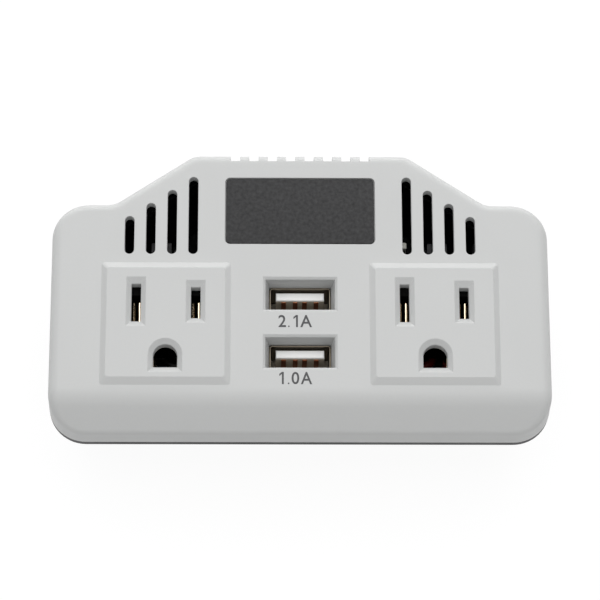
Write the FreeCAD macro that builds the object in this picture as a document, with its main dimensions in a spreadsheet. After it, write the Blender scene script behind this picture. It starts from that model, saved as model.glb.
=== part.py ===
import FreeCAD, Part
import math
import os
import re

import Sketcher
from FreeCAD import Placement, Rotation, Vector

# Compact car power inverter with two grounded outlets and two USB ports on its face.
# It lies on its back: +Z points out of the face, +Y towards the fan wall, and +X to the
# right of someone who reads the face. The origin is the middle of the base.
# Lengths are millimetres and angles are degrees.

SIZES = (
    ("body_width", 107.2, "case across its sides, at the parting line"),
    ("body_depth", 62.4, "case from the near wall to the fan wall, at the parting line"),
    ("rear_height", 28.2, "rear shell, base to parting line"),
    ("front_height", 10.8, "front shell, parting line to face"),
    ("wall", 2.2, "wall of both shells"),
    ("draft_angle", 2.0, "draft of the front shell's walls"),
    ("shoulder_width", 13.4, "side wall to the foot of the slanted wall"),
    ("slant_run", 17.1, "slanted wall, measured across the case"),
    ("slant_angle", 33.7, "slanted walls against the fan wall"),
    ("near_corner_radius", 8.0, "corners of the near wall, in plan"),
    ("shoulder_radius", 8.2, "shoulder corners, in plan"),
    ("blend_radius", 5.0, "foot of each slanted wall, in plan"),
    ("top_corner_radius", 5.0, "corners of the fan wall, in plan"),
    ("edge_round", 2.3, "round between the face and the walls"),
    ("ramp_run", 6.6, "ramp from its bend to the near wall, in plan"),
    ("ramp_angle", 40.0, "ramp against the face"),
    ("bend_radius", 6.0, "soft bend between face and ramp"),
    ("lip_wall", 1.1, "front wall left outside the lip's rebate"),
    ("lip_height", 1.6, "rear shell's lip above the parting line"),
    ("lip_thickness", 1.3, "rear shell's lip"),
    ("lip_gap", 0.1, "play round the lip"),
    ("rim_height", 1.7, "dark rim that shows under the front shell"),
    ("rim_step", 0.8, "step from the rim in to the tub"),
    ("near_taper", 20.0, "taper of the tub's near wall"),
    ("side_taper", 4.0, "taper of the tub's sides"),
    ("far_taper", 2.0, "taper of the tub's fan wall and shoulders"),
    ("base_round", 2.5, "round between the base and the tub's walls"),
    ("fastener_gap", 0.05, "play round every screw shank"),
    ("screw_inset", 8.8, "case screws inside the side walls"),
    ("screw_near_inset", 17.4, "near pair of case screws behind the near wall"),
    ("screw_far_inset", 10.8, "far pair of case screws before the shoulders"),
    ("tower_radius", 4.3, "screw towers of the rear shell"),
    ("boss_radius", 3.2, "screw bosses of the front shell"),
    ("screw_radius", 1.45, "case screw shank"),
    ("screw_length", 24.0, "case screw under its head"),
    ("screw_head_radius", 2.7, "case screw head"),
    ("screw_head_height", 2.0, "case screw head"),
    ("well_depth", 10.0, "screw wells in the base"),
    ("well_gap", 0.3, "play round a screw head in its well"),
    ("small_screw_radius", 1.0, "board and block screws"),
    ("small_screw_length", 5.0, "board and block screws under their heads"),
    ("small_head_radius", 1.9, "board and block screws"),
    ("small_head_height", 1.3, "board and block screws"),
    ("post_radius", 2.4, "posts that take the small screws"),
    ("outlet_spacing", 57.24, "outlet to outlet"),
    ("slot_line_inset", 27.7, "near wall to the line of the blade slots"),
    ("blade_spacing", 12.7, "neutral slot to hot slot"),
    ("slot_width", 2.04, "both blade slots"),
    ("neutral_slot_length", 8.5, "the longer slot"),
    ("hot_slot_length", 7.0, "the shorter slot"),
    ("ground_drop", 11.91, "slot line to the ground hole"),
    ("ground_width", 5.15, "ground hole"),
    ("funnel_depth", 1.0, "lead-in bevel round every slot"),
    ("funnel_side", 1.08, "bevel at the sides of a slot"),
    ("funnel_end", 1.3, "bevel at the ends of a slot"),
    ("pad_width", 27.66, "raised outlet pad, at its foot"),
    ("pad_length", 27.5, "raised outlet pad, at its foot"),
    ("pad_drop", 4.6, "slot line to the middle of the pad"),
    ("pad_height", 1.0, "outlet pad above the face"),
    ("pad_bevel_side", 1.24, "pad bevel at its sides"),
    ("pad_bevel_end", 1.5, "pad bevel at its ends"),
    ("pad_corner", 0.6, "pad corners, in plan"),
    ("vent_inset", 0.12, "innermost vent inside the end of the slanted wall"),
    ("vent_pitch", 4.55, "vent to vent"),
    ("vent_count", 4, "vents on each side"),
    ("vent_width", 2.05, "vent"),
    ("vent_rise", 11.1, "slot line to the near end of every vent"),
    ("vent_far_inset", 5.85, "far end of the innermost vent before the fan wall"),
    ("groove_pitch", 4.0, "grooves in the fan wall"),
    ("groove_count", 8, "grooves in the fan wall"),
    ("groove_width", 2.05, "groove"),
    ("groove_depth", 1.05, "groove at its foot"),
    ("groove_lean", 6.6, "floor of each front groove against the fan wall"),
    ("groove_foot", 2.3, "foot of the front grooves above the parting line"),
    ("front_slot_low", 2.8, "front air slots above the parting line"),
    ("front_slot_height", 5.2, "front air slots"),
    ("rear_slot_low", 5.0, "rear air slots above the base"),
    ("rear_slot_height", 19.0, "rear air slots"),
    ("plate_width", 31.9, "name plate"),
    ("plate_length", 14.9, "name plate"),
    ("plate_inset", 13.63, "fan wall to the middle of the name plate"),
    ("plate_thickness", 0.5, "name plate"),
    ("plate_corner", 0.9, "name plate corners"),
    ("plate_recess", 0.6, "recess that takes the plate"),
    ("plate_gap", 0.2, "play round the plate"),
    ("usb_pitch", 13.0, "USB port to USB port"),
    ("usb_drop", 4.45, "slot line to the middle between the USB ports"),
    ("usb_mouth_width", 15.0, "tapered mouth at the face"),
    ("usb_mouth_height", 6.9, "tapered mouth at the face"),
    ("usb_mouth_depth", 4.3, "face to the metal shell"),
    ("usb_collar_depth", 6.0, "face to the end of the collar round the ports"),
    ("usb_collar_margin", 2.0, "collar wall beside a mouth"),
    ("usb_gap", 0.1, "play round a metal shell"),
    ("usb_shell_width", 13.1, "metal shell"),
    ("usb_shell_height", 5.72, "metal shell"),
    ("usb_shell_length", 12.7, "metal shell"),
    ("usb_sheet", 0.3, "metal shell's sheet"),
    ("usb_base_depth", 3.5, "insulator foot inside the shell"),
    ("tongue_width", 10.4, "insulator tongue"),
    ("tongue_thickness", 1.84, "insulator tongue"),
    ("tongue_setback", 1.0, "tongue behind the shell's edge"),
    ("tongue_offset", 1.2, "tongue above the middle of the port"),
    ("pin_inner", 2.0, "between the two inner USB pins"),
    ("pin_outer", 7.0, "between the two outer USB pins"),
    ("pin_width", 1.0, "USB pin"),
    ("pin_thickness", 0.25, "USB pin"),
    ("board_thickness", 1.6, "both circuit boards"),
    ("usb_board_width", 23.0, "USB board"),
    ("usb_board_length", 33.0, "USB board"),
    ("usb_post_pitch", 28.3, "post to post of the USB board"),
    ("usb_coil_width", 6.0, "inductor on the USB board"),
    ("usb_coil_height", 3.0, "inductor on the USB board"),
    ("block_width", 21.0, "contact block of an outlet"),
    ("block_length", 24.2, "contact block of an outlet"),
    ("block_drop", 5.2, "slot line to the middle of the block"),
    ("block_height", 17.3, "contact block of an outlet"),
    ("block_gap", 0.15, "play between a block and its skirt"),
    ("skirt_wall", 1.5, "skirt that locates a block"),
    ("skirt_height", 6.0, "skirt below the inside of the face"),
    ("ear_thickness", 2.0, "screw ears of a block"),
    ("ear_reach", 14.1, "ear screws from the middle of a block"),
    ("ear_near_y", -12.5, "near ear screw from the slot line"),
    ("ear_far_y", 2.5, "far ear screw from the slot line"),
    ("leaf_thickness", 0.45, "contact strip"),
    ("leaf_width", 6.0, "blade contact, along its slot"),
    ("leaf_drop", 0.9, "slot line to the middle of the leaves"),
    ("leaf_gap", 1.0, "blade contact at its throat"),
    ("leaf_mouth", 2.9, "blade contact at its flared mouth"),
    ("leaf_base", 2.6, "blade contact across its base"),
    ("ground_leaf_gap", 4.4, "ground contact at its throat"),
    ("ground_flare", 0.9, "ground contact, mouth past its throat"),
    ("ground_leaf_width", 4.6, "ground contact, along its leaves"),
    ("contact_top", 2.6, "contacts below the inside of the face"),
    ("contact_throat", 6.0, "throat below the inside of the face"),
    ("contact_bottom", 15.6, "contact base below the inside of the face"),
    ("cell_gap", 0.25, "play between a contact and its cell"),
    ("ground_cell_far", 5.9, "slot line to the far end of the ground cell"),
    ("tail_length", 3.6, "solder tail below a contact's base"),
    ("tail_width", 2.0, "solder tail"),
    ("board_edge_gap", 0.8, "main board before the near wall"),
    ("board_fan_gap", 0.35, "main board before the fan guides"),
    ("board_tower_gap", 1.0, "main board beside the screw towers"),
    ("main_board_post", 3.0, "posts under the main board"),
    ("board_screw_inset", 3.0, "near pair of main board screws inside its sides"),
    ("gland_y", -2.9, "cord inlet"),
    ("gland_z", 14.0, "cord inlet above the base"),
    ("seat_inset", 2.0, "outer face of the inlet's seat inside the side wall"),
    ("gland_seat_thickness", 3.0, "inlet's seat"),
    ("gland_seat_radius", 7.0, "inlet's seat"),
    ("spot_radius", 6.8, "flat round the inlet, on the outside"),
    ("bush_neck_radius", 4.6, "rubber bush in its hole"),
    ("bush_bore_radius", 3.0, "rubber bush, hole for the cord"),
    ("bush_flange_radius", 6.2, "rubber bush, outer flange"),
    ("bush_flange", 1.5, "rubber bush, flange thickness"),
    ("bush_inner_flange", 1.0, "rubber bush, inner flange past its neck"),
    ("bush_gap", 0.05, "play between bush and seat"),
    ("fan_size", 30.0, "fan frame, square"),
    ("fan_depth", 10.0, "fan frame"),
    ("grille_depth", 4.2, "fan wall's outside to the fan frame"),
    ("duct_wall", 1.0, "fan frame beside its air duct"),
    ("fan_hole_inset", 3.0, "holes of the fan frame inside its sides"),
    ("fan_hole_radius", 1.6, "holes of the fan frame"),
    ("fan_corner", 2.0, "fan frame corners"),
    ("motor_radius", 7.0, "motor base and rotor hub"),
    ("motor_base", 1.2, "motor base"),
    ("strut_width", 1.8, "struts that carry the motor base"),
    ("bearing_radius", 2.2, "bearing tube of the fan frame"),
    ("bearing_length", 5.6, "bearing tube of the fan frame"),
    ("shaft_radius", 1.0, "rotor shaft"),
    ("running_gap", 0.05, "shaft in its bearing"),
    ("hub_front", 0.6, "rotor hub behind the fan's near face"),
    ("hub_length", 7.4, "rotor hub"),
    ("hub_wall", 1.0, "rotor hub"),
    ("magnet_thickness", 0.7, "rotor magnet"),
    ("magnet_length", 4.6, "rotor magnet"),
    ("blade_count", 7, "fan blades"),
    ("tip_gap", 0.6, "blade tips inside the air duct"),
    ("blade_length", 7.0, "fan blades, along the shaft"),
    ("blade_thickness", 0.8, "fan blades"),
    ("blade_root_sweep", 4.2, "blade root, round the hub"),
    ("blade_tip_sweep", 9.0, "blade tip, round the duct"),
    ("guide_thickness", 1.5, "guides that hold the fan"),
    ("guide_height", 22.0, "guides above the floor"),
    ("guide_gap", 0.15, "play between fan and guides"),
    ("guide_lip", 2.2, "guide lip in front of the fan's corner"),
    ("stop_x", 12.0, "ribs that hold the fan down"),
    ("seat_gap", 0.3, "play above the fan and behind it"),
    ("transformer_width", 30.0, "transformer core"),
    ("transformer_length", 24.8, "transformer core"),
    ("part_gap", 0.4, "least play between parts on the main board"),
    ("core_height", 8.0, "transformer core"),
    ("core_leg", 5.0, "outer legs and yokes of the core"),
    ("core_centre_leg", 9.0, "centre leg of the core"),
    ("bobbin_wall", 0.8, "bobbin tube and flanges"),
    ("bobbin_overhang", 1.7, "bobbin flange past the core, up and down"),
    ("winding_side", 3.0, "winding past its bobbin tube, at the sides"),
    ("winding_rise", 0.7, "winding past its bobbin tube, up and down"),
    ("fit_gap", 0.1, "play between parts that slide together"),
    ("choke_x", 24.6, "choke"),
    ("choke_y", -3.7, "choke"),
    ("choke_outer_radius", 3.7, "choke core"),
    ("choke_inner_radius", 1.8, "choke core"),
    ("choke_height", 4.0, "choke core"),
    ("choke_wire", 0.8, "choke winding round its core"),
    ("capacitor_radius", 5.0, "electrolytic capacitors"),
    ("can_crimp", 1.0, "crimp near an electrolytic capacitor's end"),
    ("capacitor_length", 13.5, "input capacitor"),
    ("bus_capacitor_length", 15.0, "output capacitor"),
    ("capacitor_y", -13.6, "both capacitors"),
    ("capacitor_inner_x", 19.0, "inner end of both capacitors"),
    ("fuse_radius", 2.6, "fuse"),
    ("fuse_length", 20.0, "fuse"),
    ("fuse_cap", 5.0, "metal caps of the fuse"),
    ("clip_sheet", 0.4, "fuse clips"),
    ("clip_foot", 0.5, "fuse clips under the fuse"),
    ("fuse_y", -4.4, "fuse"),
    ("film_inset", 3.9, "film capacitor inside the board's side"),
    ("film_width", 5.0, "film capacitor"),
    ("film_length", 8.0, "film capacitor"),
    ("film_height", 9.0, "film capacitor"),
    ("film_y", -4.0, "film capacitor"),
    ("sink_inset", 0.5, "heat sinks inside the board's sides"),
    ("sink_width", 21.0, "heat sink"),
    ("sink_wall_gap", 2.2, "heat sinks before the shoulder walls, at the parting line"),
    ("sink_base", 1.8, "heat sink base plate"),
    ("sink_fin", 1.0, "heat sink fin"),
    ("sink_fin_reach", 4.0, "heat sink fins"),
    ("sink_fin_count", 7, "heat sink fins"),
    ("sink_height", 20.0, "heat sink"),
    ("transistor_spacing", 11.4, "transistors on a heat sink"),
    ("transistor_width", 10.0, "transistor body"),
    ("transistor_height", 9.0, "transistor body"),
    ("transistor_thickness", 4.4, "transistor body"),
    ("tab_height", 6.0, "transistor tab"),
    ("tab_thickness", 1.3, "transistor tab"),
    ("leg_length", 3.5, "transistor legs"),
    ("leg_width", 0.9, "transistor legs"),
    ("leg_pitch", 2.54, "transistor legs"),
    ("plug_width", 3.6, "fan plug"),
    ("plug_thickness", 1.3, "fan plug"),
    ("plug_height", 5.0, "fan plug"),
    ("plug_shift", 7.1, "middle of its heat sink to the fan plug"),
    ("plug_rise", 3.5, "flat side of its heat sink to the fan plug"),
    ("terminal_x", -36.6, "outer one of the battery lead posts"),
    ("terminal_spacing", 5.0, "battery lead posts"),
    ("terminal_y", 0.2, "battery lead posts"),
    ("terminal_radius", 1.0, "battery lead posts"),
    ("terminal_height", 3.4, "battery lead posts"),
    ("lead_radius", 0.9, "outlet leads, over their insulation"),
    ("lead_sides", 10, "sides of every lead's section"),
    ("lead_bend", 2.0, "outlet leads, radius of every bend"),
    ("lead_gap", 0.15, "play between the leads and the blocks above them"),
    ("lead_turn_x", 29.3, "crossing of the outer leads, from the centre line"),
    ("lead_turn_drop", 7.3, "slot line to the outer leads' run to their drop"),
    ("lead_drop_x", 17.2, "drop of every lead to the board, from the centre line"),
)

NAMES = {name for name, number, meaning in SIZES}

# Places that follow from the sizes: first across the case, then along it, then in the fan.
PLACES = {
    "slant_foot_x": "body_width/2-shoulder_width",
    "slant_top_x": "slant_foot_x-slant_run",
    "vent_first_x": "slant_top_x-vent_inset",
    "screw_x": "body_width/2-screw_inset",
    "gland_face_x": "body_width/2-seat_inset",
    "main_board_half": "screw_x-tower_radius-board_tower_gap",
    "board_screw_x": "main_board_half-board_screw_inset",
    "film_x": "main_board_half-film_inset",
    "sink_x": "main_board_half-sink_inset-sink_width/2",
    "plug_x": "sink_x-plug_shift",
    "fuse_x": "-lead_drop_x-lead_radius-part_gap-fuse_length/2",
    "shoulder_y": "body_depth/2-slant_run*tan(slant_angle*1deg)",
    "slot_line_y": "slot_line_inset-body_depth/2",
    "usb_y": "slot_line_y-usb_drop",
    "usb_post_near_y": "usb_y-usb_post_pitch/2",
    "usb_post_far_y": "usb_y+usb_post_pitch/2",
    "lead_turn_y": "slot_line_y-lead_turn_drop",
    "vent_near_y": "slot_line_y+vent_rise",
    "vent_far_y": "body_depth/2-vent_far_inset",
    "plate_y": "body_depth/2-plate_inset",
    "screw_near_y": "screw_near_inset-body_depth/2",
    "screw_far_y": "shoulder_y-screw_far_inset",
    "fan_far_y": "body_depth/2-grille_depth",
    "fan_near_y": "fan_far_y-fan_depth",
    "near_room_y": "rim_step+wall-body_depth/2+(rear_height-wall-main_board_post)*tan(near_taper*1deg)",
    "main_board_near_y": "near_room_y+board_edge_gap",
    "main_board_far_y": "fan_near_y-guide_gap-guide_thickness-board_fan_gap",
    "board_screw_near_y": "main_board_near_y+post_radius",
    "board_screw_far_y": "main_board_far_y-post_radius",
    "transformer_y": "board_screw_far_y-small_head_radius-part_gap-transformer_length/2",
    "sink_near_y": "shoulder_y-rim_step-wall-sink_wall_gap-sink_base-sink_fin_reach",
    "plug_y": "sink_near_y+plug_rise",
    "fan_bore_radius": "fan_size/2-duct_wall",
    "fan_hole_spacing": "fan_size-2*fan_hole_inset",
    "blade_tip_radius": "fan_bore_radius-tip_gap",
}

doc = FreeCAD.newDocument("power_inverter")
sheet = doc.addObject("Spreadsheet::Sheet", "Sizes")
for row, (name, number, meaning) in enumerate(SIZES, 1):
    sheet.set("A%d" % row, name)
    sheet.set("B%d" % row, str(number))
    sheet.set("C%d" % row, meaning)
    sheet.setAlias("B%d" % row, name)
doc.recompute()

# Levels and places that several pieces share, as formulas of the sizes above.
FACE = "(rear_height+front_height)"
PAD_FACE = "(rear_height+front_height+pad_height)"
CEILING = "(rear_height+front_height-wall)"
USB_BOARD_TOP = "(rear_height+front_height-usb_mouth_depth-usb_shell_length)"
BLOCK_FOOT = "(rear_height+front_height-wall-block_height)"
FLOOR = "wall"
BOARD_TOP = "(wall+main_board_post+board_thickness)"
FAN_TOP = "(wall+fan_size)"


# Formulas, sketches and features

def cell(text):
    """The same formula, with every size pointing at its cell and every place spelled out in sizes."""
    def spell(found):
        word = found.group()
        if word in NAMES:
            return "Sizes." + word
        return "(%s)" % cell(PLACES[word]) if word in PLACES else word
    return re.sub(r"[a-z][a-z0-9_]*", spell, text)


def value(text):
    """The number that a formula gives now."""
    return float(sheet.evalExpression(cell(text)))


def count(text):
    return int(round(value(text)))


def bind(thing, setting, text):
    thing.setExpression(setting, cell(text))


def new_body(label):
    made = doc.addObject("PartDesign::Body", label)
    made.Label = label
    return made


def sketch(body, name, lift="0", role="XY_Plane"):
    """An empty sketch on one of the body's own origin planes, lifted off it along its normal."""
    drawn = body.newObject("Sketcher::SketchObject", name)
    plane = [thing for thing in body.Origin.OriginFeatures if thing.Role == role][0]
    drawn.AttachmentSupport = (plane, [""])
    drawn.MapMode = "FlatFace"
    if lift != "0":
        bind(drawn, "AttachmentOffset.Base.z", lift)
    return drawn


def pin_point(drawn, item, end, x, y):
    """Hold a point of a sketch at two signed distances from the origin."""
    for kind, text in (("DistanceX", x), ("DistanceY", y)):
        index = drawn.addConstraint(Sketcher.Constraint(kind, -1, 1, item, end, value(text)))
        bind(drawn, "Constraints[%d]" % index, text)


def pin_radius(drawn, item, text):
    index = drawn.addConstraint(Sketcher.Constraint("Radius", item, value(text)))
    bind(drawn, "Constraints[%d]" % index, text)


def polygon(drawn, corners, radii=None):
    """A closed outline through the corners, each rounded by its own radius if one is given."""
    places = [Vector(value(x), value(y), 0) for x, y in corners]
    total = len(places)
    lines = [drawn.addGeometry(Part.LineSegment(place, places[(i + 1) % total]), False)
             for i, place in enumerate(places)]
    for i in range(total):
        drawn.addConstraint(Sketcher.Constraint("Coincident", lines[i], 2, lines[(i + 1) % total], 1))
    for line, (x, y) in zip(lines, corners):
        pin_point(drawn, line, 1, x, y)
    for line, radius in zip(lines, radii or []):
        if radius:
            drawn.fillet(line, 1, value(radius), True, True)
            pin_radius(drawn, len(drawn.Geometry) - 2, radius)
    return drawn


def rectangle(drawn, x, y, width, length, radius=None):
    """A rectangle about the point x, y."""
    left, right = "(%s)-(%s)/2" % (x, width), "(%s)+(%s)/2" % (x, width)
    near, far = "(%s)-(%s)/2" % (y, length), "(%s)+(%s)/2" % (y, length)
    return polygon(drawn, [(left, near), (right, near), (right, far), (left, far)], [radius] * 4)


def circle(drawn, x, y, radius):
    ring = Part.Circle(Vector(value(x), value(y), 0), Vector(0, 0, 1), value(radius))
    item = drawn.addGeometry(ring, False)
    pin_point(drawn, item, 3, x, y)
    pin_radius(drawn, item, radius)
    return drawn


def long_hole(drawn, x, near, far, width):
    """A slot along Y with round ends, between the two ends' tips."""
    middle, half = value(x), value(width) / 2
    low, high = value(near) + half, value(far) - half
    up = Vector(0, 0, 1)
    bottom = Part.ArcOfCircle(Part.Circle(Vector(middle, low, 0), up, half), math.pi, 2 * math.pi)
    top = Part.ArcOfCircle(Part.Circle(Vector(middle, high, 0), up, half), 0, math.pi)
    right = Part.LineSegment(Vector(middle + half, low, 0), Vector(middle + half, high, 0))
    left = Part.LineSegment(Vector(middle - half, high, 0), Vector(middle - half, low, 0))
    bottom, right, top, left = [drawn.addGeometry(item, False) for item in (bottom, right, top, left)]
    for first, second in ((bottom, right), (right, top), (top, left), (left, bottom)):
        drawn.addConstraint(Sketcher.Constraint("Tangent", first, 2, second, 1))
    pin_point(drawn, bottom, 3, x, "(%s)+(%s)/2" % (near, width))
    pin_point(drawn, top, 3, x, "(%s)-(%s)/2" % (far, width))
    pin_radius(drawn, bottom, "(%s)/2" % width)
    drawn.addConstraint(Sketcher.Constraint("Equal", bottom, top))
    return drawn


def arch(drawn, x, y, width, foot):
    """A hole with a half-round top about x, y and a flat bottom a foot below it."""
    middle, centre, half = value(x), value(y), value(width) / 2
    low = centre - value(foot)
    round_top = Part.ArcOfCircle(Part.Circle(Vector(middle, centre, 0), Vector(0, 0, 1), half), 0, math.pi)
    items = [
        round_top,
        Part.LineSegment(Vector(middle - half, centre, 0), Vector(middle - half, low, 0)),
        Part.LineSegment(Vector(middle - half, low, 0), Vector(middle + half, low, 0)),
        Part.LineSegment(Vector(middle + half, low, 0), Vector(middle + half, centre, 0)),
    ]
    top, left, bottom, right = [drawn.addGeometry(item, False) for item in items]
    drawn.addConstraint(Sketcher.Constraint("Tangent", top, 2, left, 1))
    drawn.addConstraint(Sketcher.Constraint("Coincident", left, 2, bottom, 1))
    drawn.addConstraint(Sketcher.Constraint("Coincident", bottom, 2, right, 1))
    drawn.addConstraint(Sketcher.Constraint("Tangent", right, 2, top, 1))
    pin_point(drawn, top, 3, x, y)
    pin_radius(drawn, top, "(%s)/2" % width)
    pin_point(drawn, bottom, 1, "(%s)-(%s)/2" % (x, width), "(%s)-(%s)" % (y, foot))
    pin_point(drawn, bottom, 2, "(%s)+(%s)/2" % (x, width), "(%s)-(%s)" % (y, foot))
    return drawn


def settle(body, feature, grows):
    """Recompute a feature and make sure that it added or removed material."""
    before = feature.BaseFeature.Shape.Volume if feature.BaseFeature else 0.0
    feature.Refine = False
    doc.recompute()
    if "Invalid" in feature.State or "Error" in feature.State or feature.Shape.isNull():
        raise RuntimeError("%s of %s failed" % (feature.Name, body.Label))
    change = feature.Shape.Volume - before
    if grows is not None and (change > 0) != grows or abs(change) < 1e-6:
        raise RuntimeError("%s of %s changed the volume by %.4f" % (feature.Name, body.Label, change))
    return feature


def pad(body, drawn, length, down=False, name="Pad"):
    feature = body.newObject("PartDesign::Pad", name)
    feature.Profile = drawn
    feature.Reversed = down
    bind(feature, "Length", length)
    return settle(body, feature, True)


def pocket(body, drawn, length, up=False, name="Pocket", middle=False):
    """Cut along the sketch's normal, downwards unless it is told to go up."""
    feature = body.newObject("PartDesign::Pocket", name)
    feature.Profile = drawn
    feature.Reversed = up
    feature.Midplane = middle
    bind(feature, "Length", length)
    return settle(body, feature, False)


def loft(body, first, second, cut=False, name="Loft"):
    feature = body.newObject("PartDesign::SubtractiveLoft" if cut else "PartDesign::AdditiveLoft", name)
    feature.Profile = first
    feature.Sections = [second]
    feature.Ruled = True
    return settle(body, feature, not cut)


def revolve(body, drawn, axis="V_Axis", angle=360.0, name="Revolution"):
    feature = body.newObject("PartDesign::Revolution", name)
    feature.Profile = drawn
    feature.ReferenceAxis = (drawn, [axis])
    feature.Angle = angle
    return settle(body, feature, True)


def dress(body, kind, base, items, setting, text, name):
    """A fillet or chamfer on some edges of the feature before it."""
    feature = body.newObject("PartDesign::" + kind, name)
    feature.Base = (base, items)
    bind(feature, setting, text)
    return settle(body, feature, None)


def lean(body, base, items, neutral, angle, name, from_top=False):
    """Tilt some walls about a level face."""
    feature = body.newObject("PartDesign::Draft", name)
    feature.Base = (base, items)
    feature.NeutralPlane = (base, neutral)
    feature.Reversed = from_top
    bind(feature, "Angle", angle)
    return settle(body, feature, None)


def hollow(body, base, items, text, name):
    """Turn a solid into a shell of even wall, open at some faces."""
    feature = body.newObject("PartDesign::Thickness", name)
    feature.Base = (base, items)
    feature.Reversed = True
    feature.Join = 0
    bind(feature, "Value", text)
    return settle(body, feature, False)


def ring_of(body, base, total, name):
    """Repeat the feature before it round the body's own Z axis."""
    feature = body.newObject("PartDesign::PolarPattern", name)
    feature.Originals = [base]
    feature.Axis = ([thing for thing in body.Origin.OriginFeatures if thing.Role == "Z_Axis"][0], [""])
    feature.Angle = 360.0
    feature.Occurrences = total
    body.Tip = feature
    return settle(body, feature, True)


# Finding faces and edges by where they lie

def middle_normal(face):
    first_u, last_u, first_v, last_v = face.ParameterRange
    return face.normalAt((first_u + last_u) / 2, (first_v + last_v) / 2)


def faces_where(shape, test):
    return ["Face%d" % (i + 1) for i, face in enumerate(shape.Faces) if test(face)]


def edges_where(shape, test):
    return ["Edge%d" % (i + 1) for i, edge in enumerate(shape.Edges) if test(edge)]


def level_at(height):
    """A test for flat faces that lie at one height."""
    return lambda face: abs(face.BoundBox.ZMin - height) < 1e-4 and abs(face.BoundBox.ZMax - height) < 1e-4


def steep_edge_at(x, y, top):
    """A test for the wall edges whose upper end is at plus or minus x, y."""
    def test(edge):
        ends = sorted((vertex.Point for vertex in edge.Vertexes), key=lambda point: point.z)
        rise = ends[-1].z - ends[0].z
        near = abs(abs(ends[-1].x) - x) < 0.01 and abs(ends[-1].y - y) < 0.01
        return rise > 1.0 and near and abs(ends[-1].z - top) < 0.01
    return test


def place(body, x="0", y="0", z="0", rotation=None):
    """Put a body in the shared frame, its position bound to the sizes."""
    if rotation:
        body.Placement = Placement(Vector(0, 0, 0), rotation)
    for axis, text in (("x", x), ("y", y), ("z", z)):
        if text != "0":
            bind(body, "Placement.Base." + axis, text)
    return body


def group(label, members):
    """Like pieces that share one node."""
    made = doc.addObject("Part::Compound", label)
    made.Label = label
    made.Links = members
    return made


def tool(label, members):
    """A body that another body is joined to or cut by."""
    made = new_body(label)
    made.AllowCompound = True
    members.append(made)
    return made


def combine(body, members, cut, name):
    """Join other bodies to this one, or cut them out of it."""
    feature = body.newObject("PartDesign::Boolean", name)
    feature.setObjects(members)
    feature.Type = 1 if cut else 0
    body.Tip = feature
    return settle(body, feature, not cut)


# The case

def case_corners(side="0", near="0", far="0"):
    """The case's plan, eight corners, each wall drawn in by its own amount."""
    half = "(body_width/2-(%s))" % side
    near_y = "-(body_depth/2-(%s))" % near
    far_y = "(body_depth/2-(%s))" % far
    shoulder = "(shoulder_y-(%s))" % far
    foot_x = "(slant_foot_x-(%s)*tan(slant_angle*0.5deg))" % far
    top_x = "(slant_top_x-(%s)*tan(slant_angle*0.5deg))" % far
    right = [(half, near_y), (half, shoulder), (foot_x, shoulder), (top_x, far_y)]
    left = [("-" + x, y) for x, y in reversed(right)]
    return right + left


def case_radii(inset="0"):
    """The plan's corner radii in the order of its corners, less or more by the inset."""
    right = [
        "near_corner_radius-(%s)" % inset,
        "shoulder_radius-(%s)" % inset,
        "blend_radius+(%s)" % inset,
        "top_corner_radius-(%s)" % inset,
    ]
    return right + right[::-1]


def case_outline(drawn, inset="0"):
    return polygon(drawn, case_corners(inset, inset, inset), case_radii(inset))


def case_form(body):
    """The front shell's outer form before its edges are rounded: drafted walls, ramp and soft bend."""
    block = pad(body, case_outline(sketch(body, "FrontPlan", "rear_height")), "front_height", name="Block")
    walls = faces_where(block.Shape, lambda face: abs(middle_normal(face).z) < 1e-6)
    foot = faces_where(block.Shape, level_at(value("rear_height")))
    drafted = lean(body, block, walls, foot, "draft_angle", "WallDraft")

    side = sketch(body, "RampSide", role="YZ_Plane")
    bend_y = "(-body_depth/2+ramp_run)"
    out_y = "(-body_depth/2-1)"
    low = "(%s-(ramp_run+1)*tan(ramp_angle*1deg))" % FACE
    polygon(side, [(bend_y, FACE), (out_y, low), (out_y, FACE + "+1"), (bend_y, FACE + "+1")])
    ramp = pocket(body, side, "body_width+2", name="Ramp", middle=True)

    at_bend = edges_where(ramp.Shape, lambda edge: edge.BoundBox.YLength < 1e-4
                          and edge.Length > value("body_width") / 2
                          and abs(edge.BoundBox.YMin - value(bend_y)) < 1e-3)
    return dress(body, "Fillet", ramp, at_bend, "Radius", "bend_radius", "Bend")


def round_rim(body, base):
    """Round the edge where the face and the ramp meet the walls, on the outside alone."""
    rim = []
    for index, edge in enumerate(base.Shape.Edges):
        tilts = sorted(middle_normal(face).z for face in base.Shape.Faces
                       if any(edge.isSame(other) for other in face.Edges))
        if len(tilts) == 2 and -0.5 < tilts[0] < 0.2 and tilts[1] > 0.5:
            rim.append("Edge%d" % (index + 1))
    return dress(body, "Fillet", base, rim, "Radius", "edge_round", "EdgeRound")


def outlet_sides():
    """The left and the right outlet, each with the sign of its X."""
    return (("left", "-1"), ("right", "1"))


def vent_places():
    """X and far end of the vents on the right-hand side, along the slanted wall."""
    for number in range(count("vent_count")):
        x = "(vent_first_x+%d*vent_pitch)" % number
        yield x, "(vent_far_y-%d*vent_pitch*tan(slant_angle*1deg))" % number


def groove_places():
    total = count("groove_count")
    for number in range(total):
        yield "(groove_pitch*(%d-(groove_count-1)/2))" % number


def case_screw_places():
    return [(sign + "*screw_x", y) for sign in ("-1", "1") for y in ("screw_near_y", "screw_far_y")]


def block_screw_places():
    return [(sign + "*(outlet_spacing/2-ear_reach)", "slot_line_y+" + y)
            for sign in ("-1", "1") for y in ("ear_near_y", "ear_far_y")]


def usb_screw_places():
    return [("0", "usb_post_near_y"), ("0", "usb_post_far_y")]


def usb_places():
    return (("upper", "(usb_y+usb_pitch/2)"), ("lower", "(usb_y-usb_pitch/2)"))


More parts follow.
